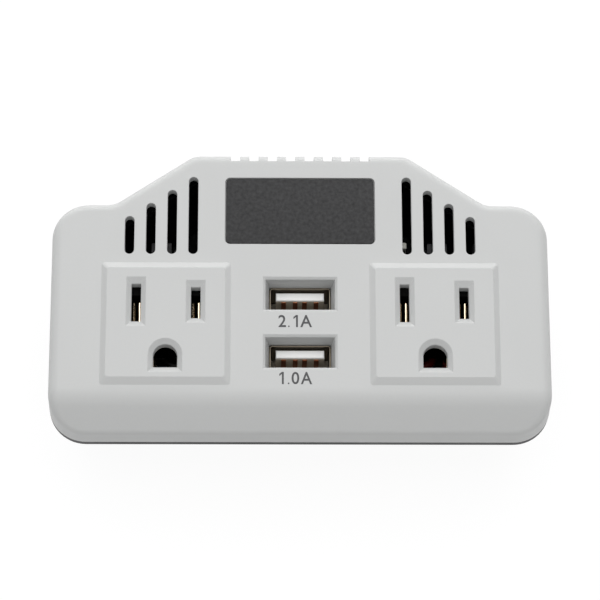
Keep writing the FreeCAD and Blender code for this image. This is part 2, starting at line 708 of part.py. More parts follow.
def slot_shapes():
    """Every hole of one outlet: how to draw it, and its place from the slot line's middle."""
    return (
        ("neutral", "-blade_spacing/2", "neutral_slot_length"),
        ("hot", "blade_spacing/2", "hot_slot_length"),
    )


def front_additions():
    """Everything that stands on the front shell's skin, inside or outside."""
    made = []

    # Raised outlet pads with bevelled edges.
    for side, sign in outlet_sides():
        raised = tool("outlet_pad_" + side, made)
        x, y = sign + "*outlet_spacing/2", "slot_line_y-pad_drop"
        foot = rectangle(sketch(raised, "PadFoot", FACE), x, y, "pad_width", "pad_length", "pad_corner")
        top = rectangle(sketch(raised, "PadTop", PAD_FACE), x, y,
                        "pad_width-2*pad_bevel_side", "pad_length-2*pad_bevel_end", "pad_corner")
        loft(raised, foot, top)

    # Bosses and posts, from their feet up into the skin.
    bosses = tool("case_bosses", made)
    plan = sketch(bosses, "BossPlan", "rear_height")
    for x, y in case_screw_places():
        circle(plan, x, y, "boss_radius")
    pad(bosses, plan, "front_height-wall/2")
    posts = tool("block_posts", made)
    plan = sketch(posts, "PostPlan", BLOCK_FOOT + "+ear_thickness")
    for x, y in block_screw_places():
        circle(plan, x, y, "post_radius")
    pad(posts, plan, "block_height-ear_thickness+wall/2")
    posts = tool("usb_posts", made)
    plan = sketch(posts, "PostPlan", USB_BOARD_TOP)
    for x, y in usb_screw_places():
        circle(plan, x, y, "post_radius")
    pad(posts, plan, "%s-%s+wall/2" % (CEILING, USB_BOARD_TOP))

    # Skirts that locate the contact blocks.
    for side, sign in outlet_sides():
        skirt = tool("skirt_" + side, made)
        plan = sketch(skirt, "SkirtPlan", CEILING + "-skirt_height")
        x, y = sign + "*outlet_spacing/2", "slot_line_y-block_drop"
        rectangle(plan, x, y, "block_width+2*block_gap", "block_length+2*block_gap")
        rectangle(plan, x, y, "block_width+2*block_gap+2*skirt_wall",
                  "block_length+2*block_gap+2*skirt_wall")
        pad(skirt, plan, "skirt_height+wall/2")

    # Collar round the two USB ports.
    collar = tool("usb_collar", made)
    plan = rectangle(sketch(collar, "CollarPlan", FACE + "-usb_collar_depth"), "0", "usb_y",
                     "usb_mouth_width+2*usb_collar_margin",
                     "usb_pitch+usb_mouth_height+2*usb_collar_margin", "usb_collar_margin")
    pad(collar, plan, "usb_collar_depth-wall/2")

    # Ribs that hold the fan down.
    stops = tool("fan_stops", made)
    plan = sketch(stops, "StopPlan", FAN_TOP + "+seat_gap")
    for sign in ("-1", "1"):
        rectangle(plan, sign + "*stop_x", "fan_far_y-fan_depth/2", "guide_thickness", "fan_depth-2")
    pad(stops, plan, "%s-(%s+seat_gap)+wall/2" % (CEILING, FAN_TOP))
    return made


def front_cuts():
    """Everything that is open in the front shell."""
    made = []

    # Screw holes, each from the foot of its boss.
    drills = (
        ("case", case_screw_places(), "rear_height", "screw_radius",
         "screw_length-(rear_height-well_depth)+0.5"),
        ("block", block_screw_places(), BLOCK_FOOT + "+ear_thickness", "small_screw_radius",
         "small_screw_length"),
        ("usb", usb_screw_places(), USB_BOARD_TOP, "small_screw_radius", "small_screw_length"),
    )
    for use, places, foot, radius, depth in drills:
        holes = tool("screw_holes_" + use, made)
        plan = sketch(holes, "HolePlan", foot + "-0.5")
        for x, y in places:
            circle(plan, x, y, radius + "+fastener_gap")
        pad(holes, plan, "%s+0.5" % depth)

    # Blade slots and ground holes, each with its lead-in funnel.
    for side, sign in outlet_sides():
        middle = sign + "*outlet_spacing/2"
        for wire, shift, length in slot_shapes():
            funnel = tool("funnel_%s_%s" % (wire, side), made)
            x = "(%s+(%s))" % (middle, shift)
            wide = rectangle(sketch(funnel, "Lead", PAD_FACE), x, "slot_line_y",
                             "slot_width+2*funnel_side", length + "+2*funnel_end")
            throat = rectangle(sketch(funnel, "Throat", PAD_FACE + "-funnel_depth"),
                               x, "slot_line_y", "slot_width", length)
            loft(funnel, wide, throat, name="Bevel")
            pad(funnel, throat, "pad_height+wall", down=True, name="Slot")
        funnel = tool("funnel_ground_" + side, made)
        y = "slot_line_y-ground_drop"
        wide = arch(sketch(funnel, "Lead", PAD_FACE), middle, y,
                    "ground_width+2*funnel_side", "ground_width/2+funnel_end")
        throat = arch(sketch(funnel, "Throat", PAD_FACE + "-funnel_depth"), middle, y,
                      "ground_width", "ground_width/2")
        loft(funnel, wide, throat, name="Bevel")
        pad(funnel, throat, "pad_height+wall", down=True, name="Hole")

    # Tapered mouths and straight guides of the USB ports.
    for port, y in usb_places():
        mouth = tool("usb_mouth_" + port, made)
        wide = rectangle(sketch(mouth, "Mouth", FACE), "0", y, "usb_mouth_width", "usb_mouth_height")
        throat = rectangle(sketch(mouth, "Throat", FACE + "-usb_mouth_depth"), "0", y,
                           "usb_shell_width+2*usb_gap", "usb_shell_height+2*usb_gap")
        loft(mouth, wide, throat, name="Taper")
        pad(mouth, throat, "usb_collar_depth", down=True, name="Guide")

    # Vents over the heat sinks, stepped along the slanted walls.
    vents = tool("vent_cuts", made)
    plan = sketch(vents, "VentPlan", FACE + "+1")
    for x, far in vent_places():
        for sign in ("-1", "1"):
            long_hole(plan, sign + "*" + x, "vent_near_y", far, "vent_width")
    pad(vents, plan, "wall*2+1", down=True)

    # Grooves down the fan wall, deeper towards the face, each open to the fan through an air slot.
    grooves = tool("groove_cuts", made)
    foot, top = "(rear_height+groove_foot)", FACE + "+1"
    floor_y, out_y = "(body_depth/2-groove_depth)", "(body_depth/2+1)"
    top_y = "(%s-(%s-%s)*tan(groove_lean*1deg))" % (floor_y, top, foot)
    for x in groove_places():
        side = sketch(grooves, "GrooveSide", x + "-groove_width/2", role="YZ_Plane")
        polygon(side, [(floor_y, foot), (top_y, top), (out_y, top), (out_y, foot)])
        pad(grooves, side, "groove_width", name="Groove")
    air = tool("front_air_slots", made)
    plan = sketch(air, "AirPlan", "-(body_depth/2-2*wall)", role="XZ_Plane")
    for x in groove_places():
        rectangle(plan, x, "rear_height+front_slot_low+front_slot_height/2", "groove_width",
                  "front_slot_height")
    pad(air, plan, "2*wall", down=True)

    # Shallow recess for the name plate.
    recess = tool("plate_recess_cut", made)
    plan = rectangle(sketch(recess, "RecessPlan", FACE + "+1"), "0", "plate_y", "plate_width+2*plate_gap",
                     "plate_length+2*plate_gap", "plate_corner+plate_gap")
    pad(recess, plan, "plate_recess+1", down=True)
    return made


def front_shell():
    shell = new_body("front_shell")
    form = case_form(shell)
    underside = faces_where(form.Shape, level_at(value("rear_height")))
    round_rim(shell, hollow(shell, form, underside, "wall", "Cavity"))

    # Rebate that takes the rear shell's lip.
    rebate = case_outline(sketch(shell, "RebatePlan", "rear_height"), "lip_wall")
    pocket(shell, rebate, "lip_height+lip_gap", up=True, name="Rebate")
    combine(shell, front_additions(), False, "Additions")
    combine(shell, front_cuts(), True, "Openings")
    return shell


def tub(label, inset, base_level, members):
    """The rear shell's tapered tub as a solid, every wall drawn in by the inset at its top."""
    made = tool(label, members)
    block = pad(made, polygon(sketch(made, "TubPlan"), case_corners(inset, inset, inset)), "rear_height",
                name="Block")
    top = value("rear_height")
    walls = (
        ("near_taper", lambda n: n.y < -0.9),
        ("side_taper", lambda n: abs(n.x) > 0.9),
        ("far_taper", lambda n: n.y > 0.5),
    )
    for angle, faces_that_way in walls:
        picked = faces_where(block.Shape, lambda face: abs(middle_normal(face).z) < 0.5
                             and faces_that_way(middle_normal(face)))
        block = lean(made, block, picked, faces_where(block.Shape, level_at(top)), angle, "Taper", True)
    corners = case_corners(inset, inset, inset)
    for (x, y), radius in list(zip(corners, case_radii(inset)))[:4]:
        wanted = edges_where(block.Shape, steep_edge_at(value(x), value(y), top))
        block = dress(made, "Fillet", block, wanted, "Radius", radius, "Corner")
    if base_level != "0":
        below = rectangle(sketch(made, "FloorPlan"), "0", "0", "body_width", "body_depth")
        block = pocket(made, below, base_level, up=True, name="Floor")
    return made, block


def rear_additions():
    """Rim, lip, screw towers, posts and guides of the rear shell."""
    made = []
    rim = tool("rim", made)
    plan = case_outline(sketch(rim, "RimPlan", "rear_height-rim_height"))
    case_outline(plan, "rim_step+wall/2")
    pad(rim, plan, "rim_height")
    lip = tool("lip", made)
    plan = case_outline(sketch(lip, "LipPlan", "rear_height-rim_height/2"), "lip_wall+lip_gap")
    case_outline(plan, "lip_wall+lip_gap+lip_thickness")
    pad(lip, plan, "lip_height+rim_height/2")
    towers = tool("screw_towers", made)
    plan = sketch(towers, "TowerPlan", FLOOR + "/2")
    for x, y in case_screw_places():
        circle(plan, x, y, "tower_radius")
    pad(towers, plan, "rear_height-%s/2" % FLOOR)
    posts = tool("board_posts", made)
    plan = sketch(posts, "PostPlan", FLOOR + "/2")
    for x, y in board_screw_places():
        circle(plan, x, y, "post_radius")
    pad(posts, plan, "main_board_post+%s/2" % FLOOR)

    # Two guides hold the fan from both sides, each with a lip in front of its corner.
    guides = tool("fan_guides", made)
    plan = sketch(guides, "GuidePlan", FLOOR + "/2")
    inner = "(fan_size/2+guide_gap)"
    near, lip_far = "(fan_near_y-guide_gap-guide_thickness)", "(fan_near_y-guide_gap)"
    corners = [
        (inner + "-guide_lip", near), (inner + "+guide_thickness", near),
        (inner + "+guide_thickness", "body_depth/2-rim_step-wall"), (inner, "body_depth/2-rim_step-wall"),
        (inner, lip_far), (inner + "-guide_lip", lip_far),
    ]
    polygon(plan, corners)
    polygon(plan, [("-(%s)" % x, y) for x, y in reversed(corners)])
    pad(guides, plan, "guide_height+%s/2" % FLOOR)

    # Flat seat of the cord inlet, square to the cord, inside the left wall.
    seat = tool("inlet_seat", made)
    plan = circle(sketch(seat, "SeatPlan", "-gland_face_x", "YZ_Plane"), "gland_y", "gland_z",
                  "gland_seat_radius")
    pad(seat, plan, "gland_seat_thickness")
    return made


def rear_cuts():
    """Screw wells, screw holes, air slots and the cord inlet of the rear shell."""
    made = []
    wells = tool("screw_wells", made)
    plan = sketch(wells, "WellPlan", "-1")
    for x, y in case_screw_places():
        circle(plan, x, y, "screw_head_radius+well_gap")
    pad(wells, plan, "well_depth+1")
    holes = tool("tower_holes", made)
    plan = sketch(holes, "HolePlan")
    for x, y in case_screw_places():
        circle(plan, x, y, "screw_radius+fastener_gap")
    pad(holes, plan, "rear_height+lip_height+1")
    holes = tool("post_holes", made)
    plan = sketch(holes, "HolePlan", FLOOR + "/2")
    for x, y in board_screw_places():
        circle(plan, x, y, "small_screw_radius+fastener_gap")
    pad(holes, plan, "main_board_post+%s" % FLOOR)
    air = tool("rear_air_slots", made)
    plan = sketch(air, "AirPlan", "-(fan_far_y+0.1)", role="XZ_Plane")
    for x in groove_places():
        rectangle(plan, x, "rear_slot_low+rear_slot_height/2", "groove_width", "rear_slot_height")
    pad(air, plan, "body_depth/2-fan_far_y+1", down=True)
    inlet = tool("inlet_cut", made)
    spot = circle(sketch(inlet, "SpotPlan", "-gland_face_x", "YZ_Plane"), "gland_y", "gland_z",
                  "spot_radius")
    pad(inlet, spot, "body_width/2-gland_face_x+1", down=True, name="SpotFace")
    hole = circle(sketch(inlet, "HolePlan", "-(gland_face_x-gland_seat_thickness-1)", "YZ_Plane"),
                  "gland_y", "gland_z", "bush_neck_radius+bush_gap")
    pad(inlet, hole, "gland_seat_thickness+2", down=True, name="Hole")
    return made


def rear_shell():
    outer = []
    shell, form = tub("rear_shell", "rim_step", "0", outer)
    edge = edges_where(form.Shape, lambda edge: edge.BoundBox.ZMax < 1e-4)
    dress(shell, "Fillet", form, edge, "Radius", "base_round", "BaseRound")
    room = []
    tub("rear_room", "rim_step+wall", FLOOR, room)
    combine(shell, room, True, "Room")
    combine(shell, rear_additions(), False, "Additions")
    combine(shell, rear_cuts(), True, "Openings")
    return shell


def name_plate():
    plate = new_body("name_plate")
    plan = rectangle(sketch(plate, "PlatePlan"), "0", "0", "plate_width", "plate_length", "plate_corner")
    pad(plate, plan, "plate_thickness")
    return place(plate, "0", "plate_y", FACE + "-plate_recess")


def screw(label, radius, length, head_radius, head_height, x, y, z, upward):
    """A pan-head screw whose head stands on the level z; its point goes up or down."""
    made = new_body(label)
    profile = [("0", "-(%s)" % head_height), (head_radius, "-(%s)" % head_height), (head_radius, "0"),
               (radius, "0"), (radius, length), ("0", length)]
    revolve(made, polygon(sketch(made, "Profile", role="XZ_Plane"), profile))
    turn = None if upward else Rotation(Vector(1, 0, 0), 180)
    return place(made, x, y, z, turn)


def case_screws():
    return group("case_screws", [
        screw("case_screw", "screw_radius", "screw_length", "screw_head_radius", "screw_head_height",
              x, y, "well_depth", True) for x, y in case_screw_places()])


def small_screws(label, places, level, upward):
    return group(label, [
        screw(label + "_one", "small_screw_radius", "small_screw_length", "small_head_radius",
              "small_head_height", x, y, level, upward) for x, y in places])


# The outlets

def contact_block(side, sign):
    """Insulating block behind one outlet, with a cell for each contact and two screw ears."""
    block = new_body("outlet_block_" + side)
    block.AllowCompound = True
    plan = rectangle(sketch(block, "BlockPlan"), "0", "-block_drop", "block_width", "block_length")
    pad(block, plan, "block_height", name="Block")
    inward = "-(%s)" % sign
    ears = sketch(block, "EarPlan")
    for y in ("ear_near_y", "ear_far_y"):
        rectangle(ears, "%s*(block_width/2+ear_reach)/2" % inward, y,
                  "ear_reach-block_width/2+2*post_radius", "2*post_radius")
    pad(block, ears, "ear_thickness", name="Ears")
    holes = sketch(block, "EarHolePlan")
    for y in ("ear_near_y", "ear_far_y"):
        circle(holes, "%s*ear_reach" % inward, y, "small_screw_radius+fastener_gap")
    pocket(block, holes, "ear_thickness", up=True, name="EarHoles")
    cells = sketch(block, "CellPlan")
    for wire, shift, length in slot_shapes():
        rectangle(cells, shift, "-leaf_drop", "leaf_mouth+2*leaf_thickness+2*cell_gap",
                  "leaf_width+2*cell_gap")
    half = "((ground_leaf_gap+ground_flare)/2+leaf_thickness+cell_gap)"
    near = "-(ground_drop+ground_leaf_width/2+cell_gap)"
    polygon(cells, [("-" + half, near), (half, near), (half, "-ground_cell_far"),
                    ("-" + half, "-ground_cell_far")])
    pocket(block, cells, "block_height", up=True, name="Cells")
    return place(block, sign + "*outlet_spacing/2", "slot_line_y", BLOCK_FOOT)


def contact(label, throat, mouth, base, width, x, y):
    """A folded strip: two sprung leaves that narrow to a throat, on a base with a solder tail."""
    strip = new_body(label)
    t = "leaf_thickness"
    throat_z, top_z, foot_z = "-contact_throat", "-contact_top", "-contact_bottom"
    inner = [(base + "/2", foot_z + "+" + t), (throat + "/2", throat_z), (mouth + "/2", top_z)]
    outer = [("%s/2+%s" % (half, t), z) for half, z in ((mouth, top_z), (throat, throat_z), (base, foot_z))]
    right = inner + outer
    left = [("-(%s)" % px, z) for px, z in reversed(right)]
    drawn = polygon(sketch(strip, "Strip", "-(%s)/2" % width, "XZ_Plane"), right + left)
    pad(strip, drawn, width, name="Leaves")
    tail = rectangle(sketch(strip, "TailPlan", foot_z), "0", "0", t, "tail_width")
    pad(strip, tail, "tail_length", down=True, name="Tail")
    return place(strip, x, y, CEILING)


def outlet_contacts(side, sign):
    middle = sign + "*outlet_spacing/2"
    made = [contact("%s_contact_%s" % (wire, side), "leaf_gap", "leaf_mouth", "leaf_base", "leaf_width",
                    "%s+(%s)" % (middle, shift), "slot_line_y-leaf_drop")
            for wire, shift, length in slot_shapes()]
    made.append(contact("ground_contact_" + side, "ground_leaf_gap", "(ground_leaf_gap+ground_flare)",
                        "ground_leaf_gap", "ground_leaf_width", middle, "slot_line_y-ground_drop"))
    return made


# The USB ports

def usb_port(port, y):
    """One upright port on its board: metal shell, insulator with its tongue, and four pins."""
    shell = new_body("usb_shell_" + port)
    plan = sketch(shell, "ShellPlan")
    rectangle(plan, "0", "0", "usb_shell_width", "usb_shell_height", "2*usb_sheet")
    rectangle(plan, "0", "0", "usb_shell_width-2*usb_sheet", "usb_shell_height-2*usb_sheet", "usb_sheet")
    pad(shell, plan, "usb_shell_length")

    inside_width = "(usb_shell_width-2*usb_sheet-2*fit_gap)"
    inside_height = "(usb_shell_height-2*usb_sheet-2*fit_gap)"
    insulator = new_body("usb_insulator_" + port)
    foot = rectangle(sketch(insulator, "FootPlan"), "0", "0", inside_width, inside_height)
    pad(insulator, foot, "usb_base_depth", name="Foot")
    tongue = rectangle(sketch(insulator, "TonguePlan"), "0", "tongue_offset", "tongue_width",
                       "tongue_thickness")
    pad(insulator, tongue, "usb_shell_length-tongue_setback", name="Tongue")

    pins = new_body("usb_pins_" + port)
    pins.AllowCompound = True
    plan = sketch(pins, "PinPlan", "usb_base_depth")
    for x in ("-pin_outer/2", "-pin_inner/2", "pin_inner/2", "pin_outer/2"):
        rectangle(plan, x, "tongue_offset-tongue_thickness/2-pin_thickness/2", "pin_width", "pin_thickness")
    pad(pins, plan, "usb_shell_length-tongue_setback-usb_base_depth-0.6")
    for body in (shell, insulator, pins):
        place(body, "0", y, USB_BOARD_TOP)
    return [shell, insulator, pins]


def usb_board():
    board = new_body("usb_board")
    plan = sketch(board, "BoardPlan")
    rectangle(plan, "0", "usb_y", "usb_board_width", "usb_board_length")
    for x, y in usb_screw_places():
        circle(plan, x, y, "small_screw_radius+fastener_gap")
    pad(board, plan, "board_thickness")
    return place(board, "0", "0", USB_BOARD_TOP + "-board_thickness")


def usb_inductor():
    coil = new_body("usb_inductor")
    block = pad(coil, rectangle(sketch(coil, "Plan"), "0", "0", "usb_coil_width", "usb_coil_width"),
                "usb_coil_height")
    upright = edges_where(block.Shape, lambda edge: edge.BoundBox.ZLength > 1)
    dress(coil, "Chamfer", block, upright, "Size", "usb_coil_width/6", "Corners")
    return place(coil, "0", "usb_y", USB_BOARD_TOP)


# The main board and what stands on it

def board_screw_places():
    return [("-board_screw_x", "board_screw_near_y"), ("board_screw_x", "board_screw_near_y"),
            ("0", "board_screw_far_y")]


def main_board():
    board = new_body("main_board")
    plan = rectangle(sketch(board, "BoardPlan"), "0", "(main_board_near_y+main_board_far_y)/2",
                     "2*main_board_half", "main_board_far_y-main_board_near_y")
    for x, y in board_screw_places():
        circle(plan, x, y, "small_screw_radius+fastener_gap")
    pad(board, plan, "board_thickness")
    return place(board, "0", "0", BOARD_TOP + "-board_thickness")


def transformer():
    """Low core lying on the board, its bobbin round the centre leg, and the winding."""
    lift = "%s+bobbin_overhang" % BOARD_TOP
    window_width = "((transformer_width-core_centre_leg)/2-core_leg)"
    window_length = "(transformer_length-2*core_leg)"
    window_x = "(core_centre_leg/2+%s/2)" % window_width
    core = new_body("transformer_core")
    plan = rectangle(sketch(core, "CorePlan"), "0", "0", "transformer_width", "transformer_length")
    for sign in ("-", ""):
        rectangle(plan, sign + window_x, "0", window_width, window_length)
    pad(core, plan, "core_height")

    # The bobbin and winding lie along Y: their plans are drawn across the leg.
    half = "(%s/2-fit_gap)" % window_length
    leg_width, leg_height = "(core_centre_leg+2*fit_gap)", "(core_height+2*fit_gap)"
    tube_width, tube_height = "(%s+2*bobbin_wall)" % leg_width, "(%s+2*bobbin_wall)" % leg_height
    middle = "core_height/2"
    bobbin = new_body("transformer_bobbin")
    plan = sketch(bobbin, "TubePlan", "-" + half, "XZ_Plane")
    rectangle(plan, "0", middle, leg_width, leg_height)
    rectangle(plan, "0", middle, tube_width, tube_height)
    pad(bobbin, plan, "2*" + half, name="Tube")
    flange_width = "(transformer_width-2*core_leg-2*fit_gap)"
    flange_height = "(core_height+2*bobbin_overhang)"
    for end, start in (("near", "-" + half), ("far", half + "-bobbin_wall")):
        plan = sketch(bobbin, "Flange_" + end, "-(%s)-bobbin_wall" % start, "XZ_Plane")
        rectangle(plan, "0", middle, flange_width, flange_height)
        rectangle(plan, "0", middle, leg_width, leg_height)
        pad(bobbin, plan, "bobbin_wall", name="Flange_" + end)

    winding = new_body("transformer_winding")
    length = "(2*%s-2*bobbin_wall-2*fit_gap)" % half
    plan = sketch(winding, "WindingPlan", "-%s/2" % length, "XZ_Plane")
    rectangle(plan, "0", middle, tube_width + "+2*fit_gap", tube_height + "+2*fit_gap")
    rectangle(plan, "0", middle, "(%s+2*fit_gap+2*winding_side)" % tube_width,
              "(%s+2*fit_gap+2*winding_rise)" % tube_height)
    pad(winding, plan, length)
    for body in (core, bobbin, winding):
        place(body, "0", "transformer_y", lift)
    return [core, bobbin, winding]


def choke():
    """Ring core lying on the board, wound round most of its way."""
    core = new_body("choke_core")
    plan = sketch(core, "RingPlan")
    circle(plan, "0", "0", "choke_outer_radius")
    circle(plan, "0", "0", "choke_inner_radius")
    pad(core, plan, "choke_height")
    winding = new_body("choke_winding")
    plan = sketch(winding, "WirePlan", role="XZ_Plane")
    middle = "(choke_outer_radius+choke_inner_radius)/2"
    across = "choke_outer_radius-choke_inner_radius+2*fit_gap"
    rectangle(plan, middle, "choke_height/2", across, "choke_height+2*fit_gap")
    rectangle(plan, middle, "choke_height/2", across + "+2*choke_wire",
              "choke_height+2*fit_gap+2*choke_wire")
    revolve(winding, plan, angle=300.0)
    for body in (core, winding):
        place(body, "choke_x", "choke_y", BOARD_TOP + "+choke_wire+fit_gap")
    return [core, winding]


def can(label, length, side):
    """Electrolytic capacitor lying on the board along X, crimped near its inner end."""
    made = new_body(label)
    r = "capacitor_radius"
    profile = [("0", "0"), (r, "0"), (r, "1.6*can_crimp"), (r + "-can_crimp/2", "2.1*can_crimp"),
               (r, "2.6*can_crimp"), (r, length), ("0", length)]
    revolve(made, polygon(sketch(made, "Profile", role="XZ_Plane"), profile))
    return place(made, "%d*capacitor_inner_x" % side, "capacitor_y", BOARD_TOP + "+capacitor_radius",
                 Rotation(Vector(0, 1, 0), 90 * side))


def fuse():
    """Glass fuse along X in two spring clips."""
    tube = new_body("fuse")
    body_radius = "(fuse_radius-0.3)"
    profile = [
        ("0", "-fuse_length/2"), ("fuse_radius", "-fuse_length/2"),
        ("fuse_radius", "-fuse_length/2+fuse_cap"), (body_radius, "-fuse_length/2+fuse_cap"),
        (body_radius, "fuse_length/2-fuse_cap"),
        ("fuse_radius", "fuse_length/2-fuse_cap"), ("fuse_radius", "fuse_length/2"), ("0", "fuse_length/2"),
    ]
    revolve(tube, polygon(sketch(tube, "Profile", role="XZ_Plane"), profile))
    rise = "(fuse_radius+clip_sheet+clip_foot)"
    place(tube, "fuse_x", "fuse_y", "%s+%s" % (BOARD_TOP, rise), Rotation(Vector(0, 1, 0), 90))

    clips = new_body("fuse_clips")
    clips.AllowCompound = True
    inner, outer = "(fuse_radius+fit_gap)", "(fuse_radius+fit_gap+clip_sheet)"
    for end, start in (("left", "-fuse_length/2+0.5"), ("right", "fuse_length/2-fuse_cap+0.5")):
        plan = sketch(clips, "ClipPlan_" + end, start, "YZ_Plane")
        low = "-(fuse_radius+clip_sheet+clip_foot)"
        polygon(plan, [("-" + outer, low), (outer, low), (outer, "fuse_radius"), (inner, "fuse_radius"),
                       (inner, "-%s" % inner), ("-" + inner, "-%s" % inner), ("-" + inner, "fuse_radius"),
                       ("-" + outer, "fuse_radius")])
        pad(clips, plan, "fuse_cap-1", name="Clip_" + end)
    place(clips, "fuse_x", "fuse_y", "%s+%s" % (BOARD_TOP, rise))
    return [tube, clips]


def film_capacitor():
    made = new_body("film_capacitor")
    block = pad(made, rectangle(sketch(made, "Plan"), "0", "0", "film_width", "film_length"), "film_height")
    top = edges_where(block.Shape, lambda edge: edge.BoundBox.ZMin > value("film_height") - 1e-4)
    dress(made, "Chamfer", block, top, "Size", "film_width/12", "TopEdge")
    return place(made, "film_x", "film_y", BOARD_TOP)


def heat_sink(side, sign):
    """Finned extrusion that stands on the board, its flat side towards the transistors."""
    sink = new_body("heatsink_" + side)
    total = count("sink_fin_count")
    pitch = "((sink_width-sink_fin)/(sink_fin_count-1))"
    corners = [("-sink_width/2", "0"), ("sink_width/2", "0")]
    for number in reversed(range(total)):
        left = "(-sink_width/2+%d*%s)" % (number, pitch)
        corners += [(left + "+sink_fin", "sink_base+sink_fin_reach"), (left, "sink_base+sink_fin_reach")]
        if number:
            corners += [(left, "sink_base"), (left + "-%s+sink_fin" % pitch, "sink_base")]
    pad(sink, polygon(sketch(sink, "FinPlan"), corners), "sink_height")
    return place(sink, sign + "*sink_x", "sink_near_y", BOARD_TOP)


def transistors(side, sign):
    """Two power transistors, tabs flat against the heat sink, legs down to the board."""
    members = []
    for number, step in enumerate(("-1", "1")):
        one = new_body("transistor_%s_%d" % (side, number + 1))
        one.AllowCompound = True
        back = "-transistor_thickness/2"
        plan = rectangle(sketch(one, "BodyPlan", "leg_length"), "0", back, "transistor_width",
                         "transistor_thickness")
        pad(one, plan, "transistor_height", name="Moulding")
        plan = rectangle(sketch(one, "TabPlan", "leg_length+transistor_height"), "0", "-tab_thickness/2",
                         "transistor_width", "tab_thickness")
        pad(one, plan, "tab_height", name="Tab")
        eye = circle(sketch(one, "EyePlan", "tab_thickness", "XZ_Plane"), "0",
                     "leg_length+transistor_height+tab_height/2", "transistor_width/6")
        pocket(one, eye, "tab_thickness", up=False, name="Eye")
        legs = sketch(one, "LegPlan")
        for place_in_row in ("-leg_pitch", "0", "leg_pitch"):
            rectangle(legs, place_in_row, back, "leg_width", "leg_width/2")
        pad(one, legs, "leg_length", name="Legs")
        members.append(place(one, "%s*sink_x+%s*transistor_spacing/2" % (sign, step),
                             "sink_near_y", BOARD_TOP))
    return group("transistors_" + side, members)


def battery_terminals():
    posts = new_body("battery_terminals")
    posts.AllowCompound = True
    plan = sketch(posts, "PostPlan")
    for x in ("terminal_x", "terminal_x+terminal_spacing"):
        circle(plan, x, "terminal_y", "terminal_radius")
    pad(posts, plan, "terminal_height")
    return place(posts, "0", "0", BOARD_TOP)


def cord_bush():
    """Rubber bush in the cord inlet, a flange on each side of its seat."""
    bush = new_body("cord_bush")
    neck, flange, bore = "bush_neck_radius", "bush_flange_radius", "bush_bore_radius"
    seat = "(gland_seat_thickness+2*bush_gap)"
    inner = "(bush_neck_radius+bush_inner_flange)"
    profile = [
        (bore, "-bush_flange"), (inner + "-0.6", "-bush_flange"), (inner, "0"), (neck, "0"), (neck, seat),
        (flange, seat), (flange, seat + "+bush_flange-0.5"), (flange + "-0.5", seat + "+bush_flange"),
        (bore, seat + "+bush_flange"),
    ]
    revolve(bush, polygon(sketch(bush, "Profile", role="XZ_Plane"), profile))
    return place(bush, "-(gland_face_x-gland_seat_thickness-bush_gap)", "gland_y", "gland_z",
                 Rotation(Vector(0, 1, 0), -90))


# The fan, drawn with its axis along Z and then turned to face the fan wall

def place_fan(body):
    return place(body, "0", "fan_near_y", FLOOR + "+fan_size/2", Rotation(Vector(1, 0, 0), -90))


def fan_frame():
    frame = new_body("fan_frame")
    frame.AllowCompound = True
    plan = rectangle(sketch(frame, "FramePlan"), "0", "0", "fan_size", "fan_size", "fan_corner")
    circle(plan, "0", "0", "fan_bore_radius")
    for x in ("-fan_hole_spacing/2", "fan_hole_spacing/2"):
        for y in ("-fan_hole_spacing/2", "fan_hole_spacing/2"):
            circle(plan, x, y, "fan_hole_radius")
    pad(frame, plan, "fan_depth", name="Frame")
    base_level = "fan_depth-motor_base"
    struts = sketch(frame, "StrutPlan", base_level)
    reach = "(fan_bore_radius+0.4)"
    rectangle(struts, "0", "0", "2*" + reach, "strut_width")
    pad(frame, struts, "motor_base", name="LevelStruts")
    struts = sketch(frame, "UprightStrutPlan", base_level)
    rectangle(struts, "0", "0", "strut_width", "2*" + reach)
    pad(frame, struts, "motor_base", name="UprightStruts")
    pad(frame, circle(sketch(frame, "MotorPlan", base_level), "0", "0", "motor_radius"), "motor_base",
        name="MotorBase")
    tube = circle(sketch(frame, "BearingPlan", base_level + "-bearing_length"), "0", "0", "bearing_radius")
    pad(frame, tube, "bearing_length", name="BearingTube")
    bore = circle(sketch(frame, "BorePlan", base_level + "-bearing_length"), "0", "0",
                  "shaft_radius+running_gap")
    pocket(frame, bore, "bearing_length+motor_base", up=True, name="BearingBore")
    return place_fan(frame)


def fan_coil():
    """Four-pole stator on the bearing tube."""
    coil = new_body("fan_coil")
    inner = "(bearing_radius+fastener_gap)"
    outer = "(motor_radius-hub_wall-magnet_thickness-3*fit_gap)"
    plan = sketch(coil, "CorePlan", "fan_depth-motor_base-magnet_length")
    circle(plan, "0", "0", inner)
    half, reach = "(%s*0.34)" % outer, "(%s*0.94)" % outer
    corners = [
        (half, "-" + half), (reach, "-" + half), (reach, half), (half, half), (half, reach),
        ("-" + half, reach), ("-" + half, half), ("-" + reach, half), ("-" + reach, "-" + half),
        ("-" + half, "-" + half), ("-" + half, "-" + reach), (half, "-" + reach),
    ]
    polygon(plan, corners)
    pad(coil, plan, "magnet_length-0.6")
    return place_fan(coil)


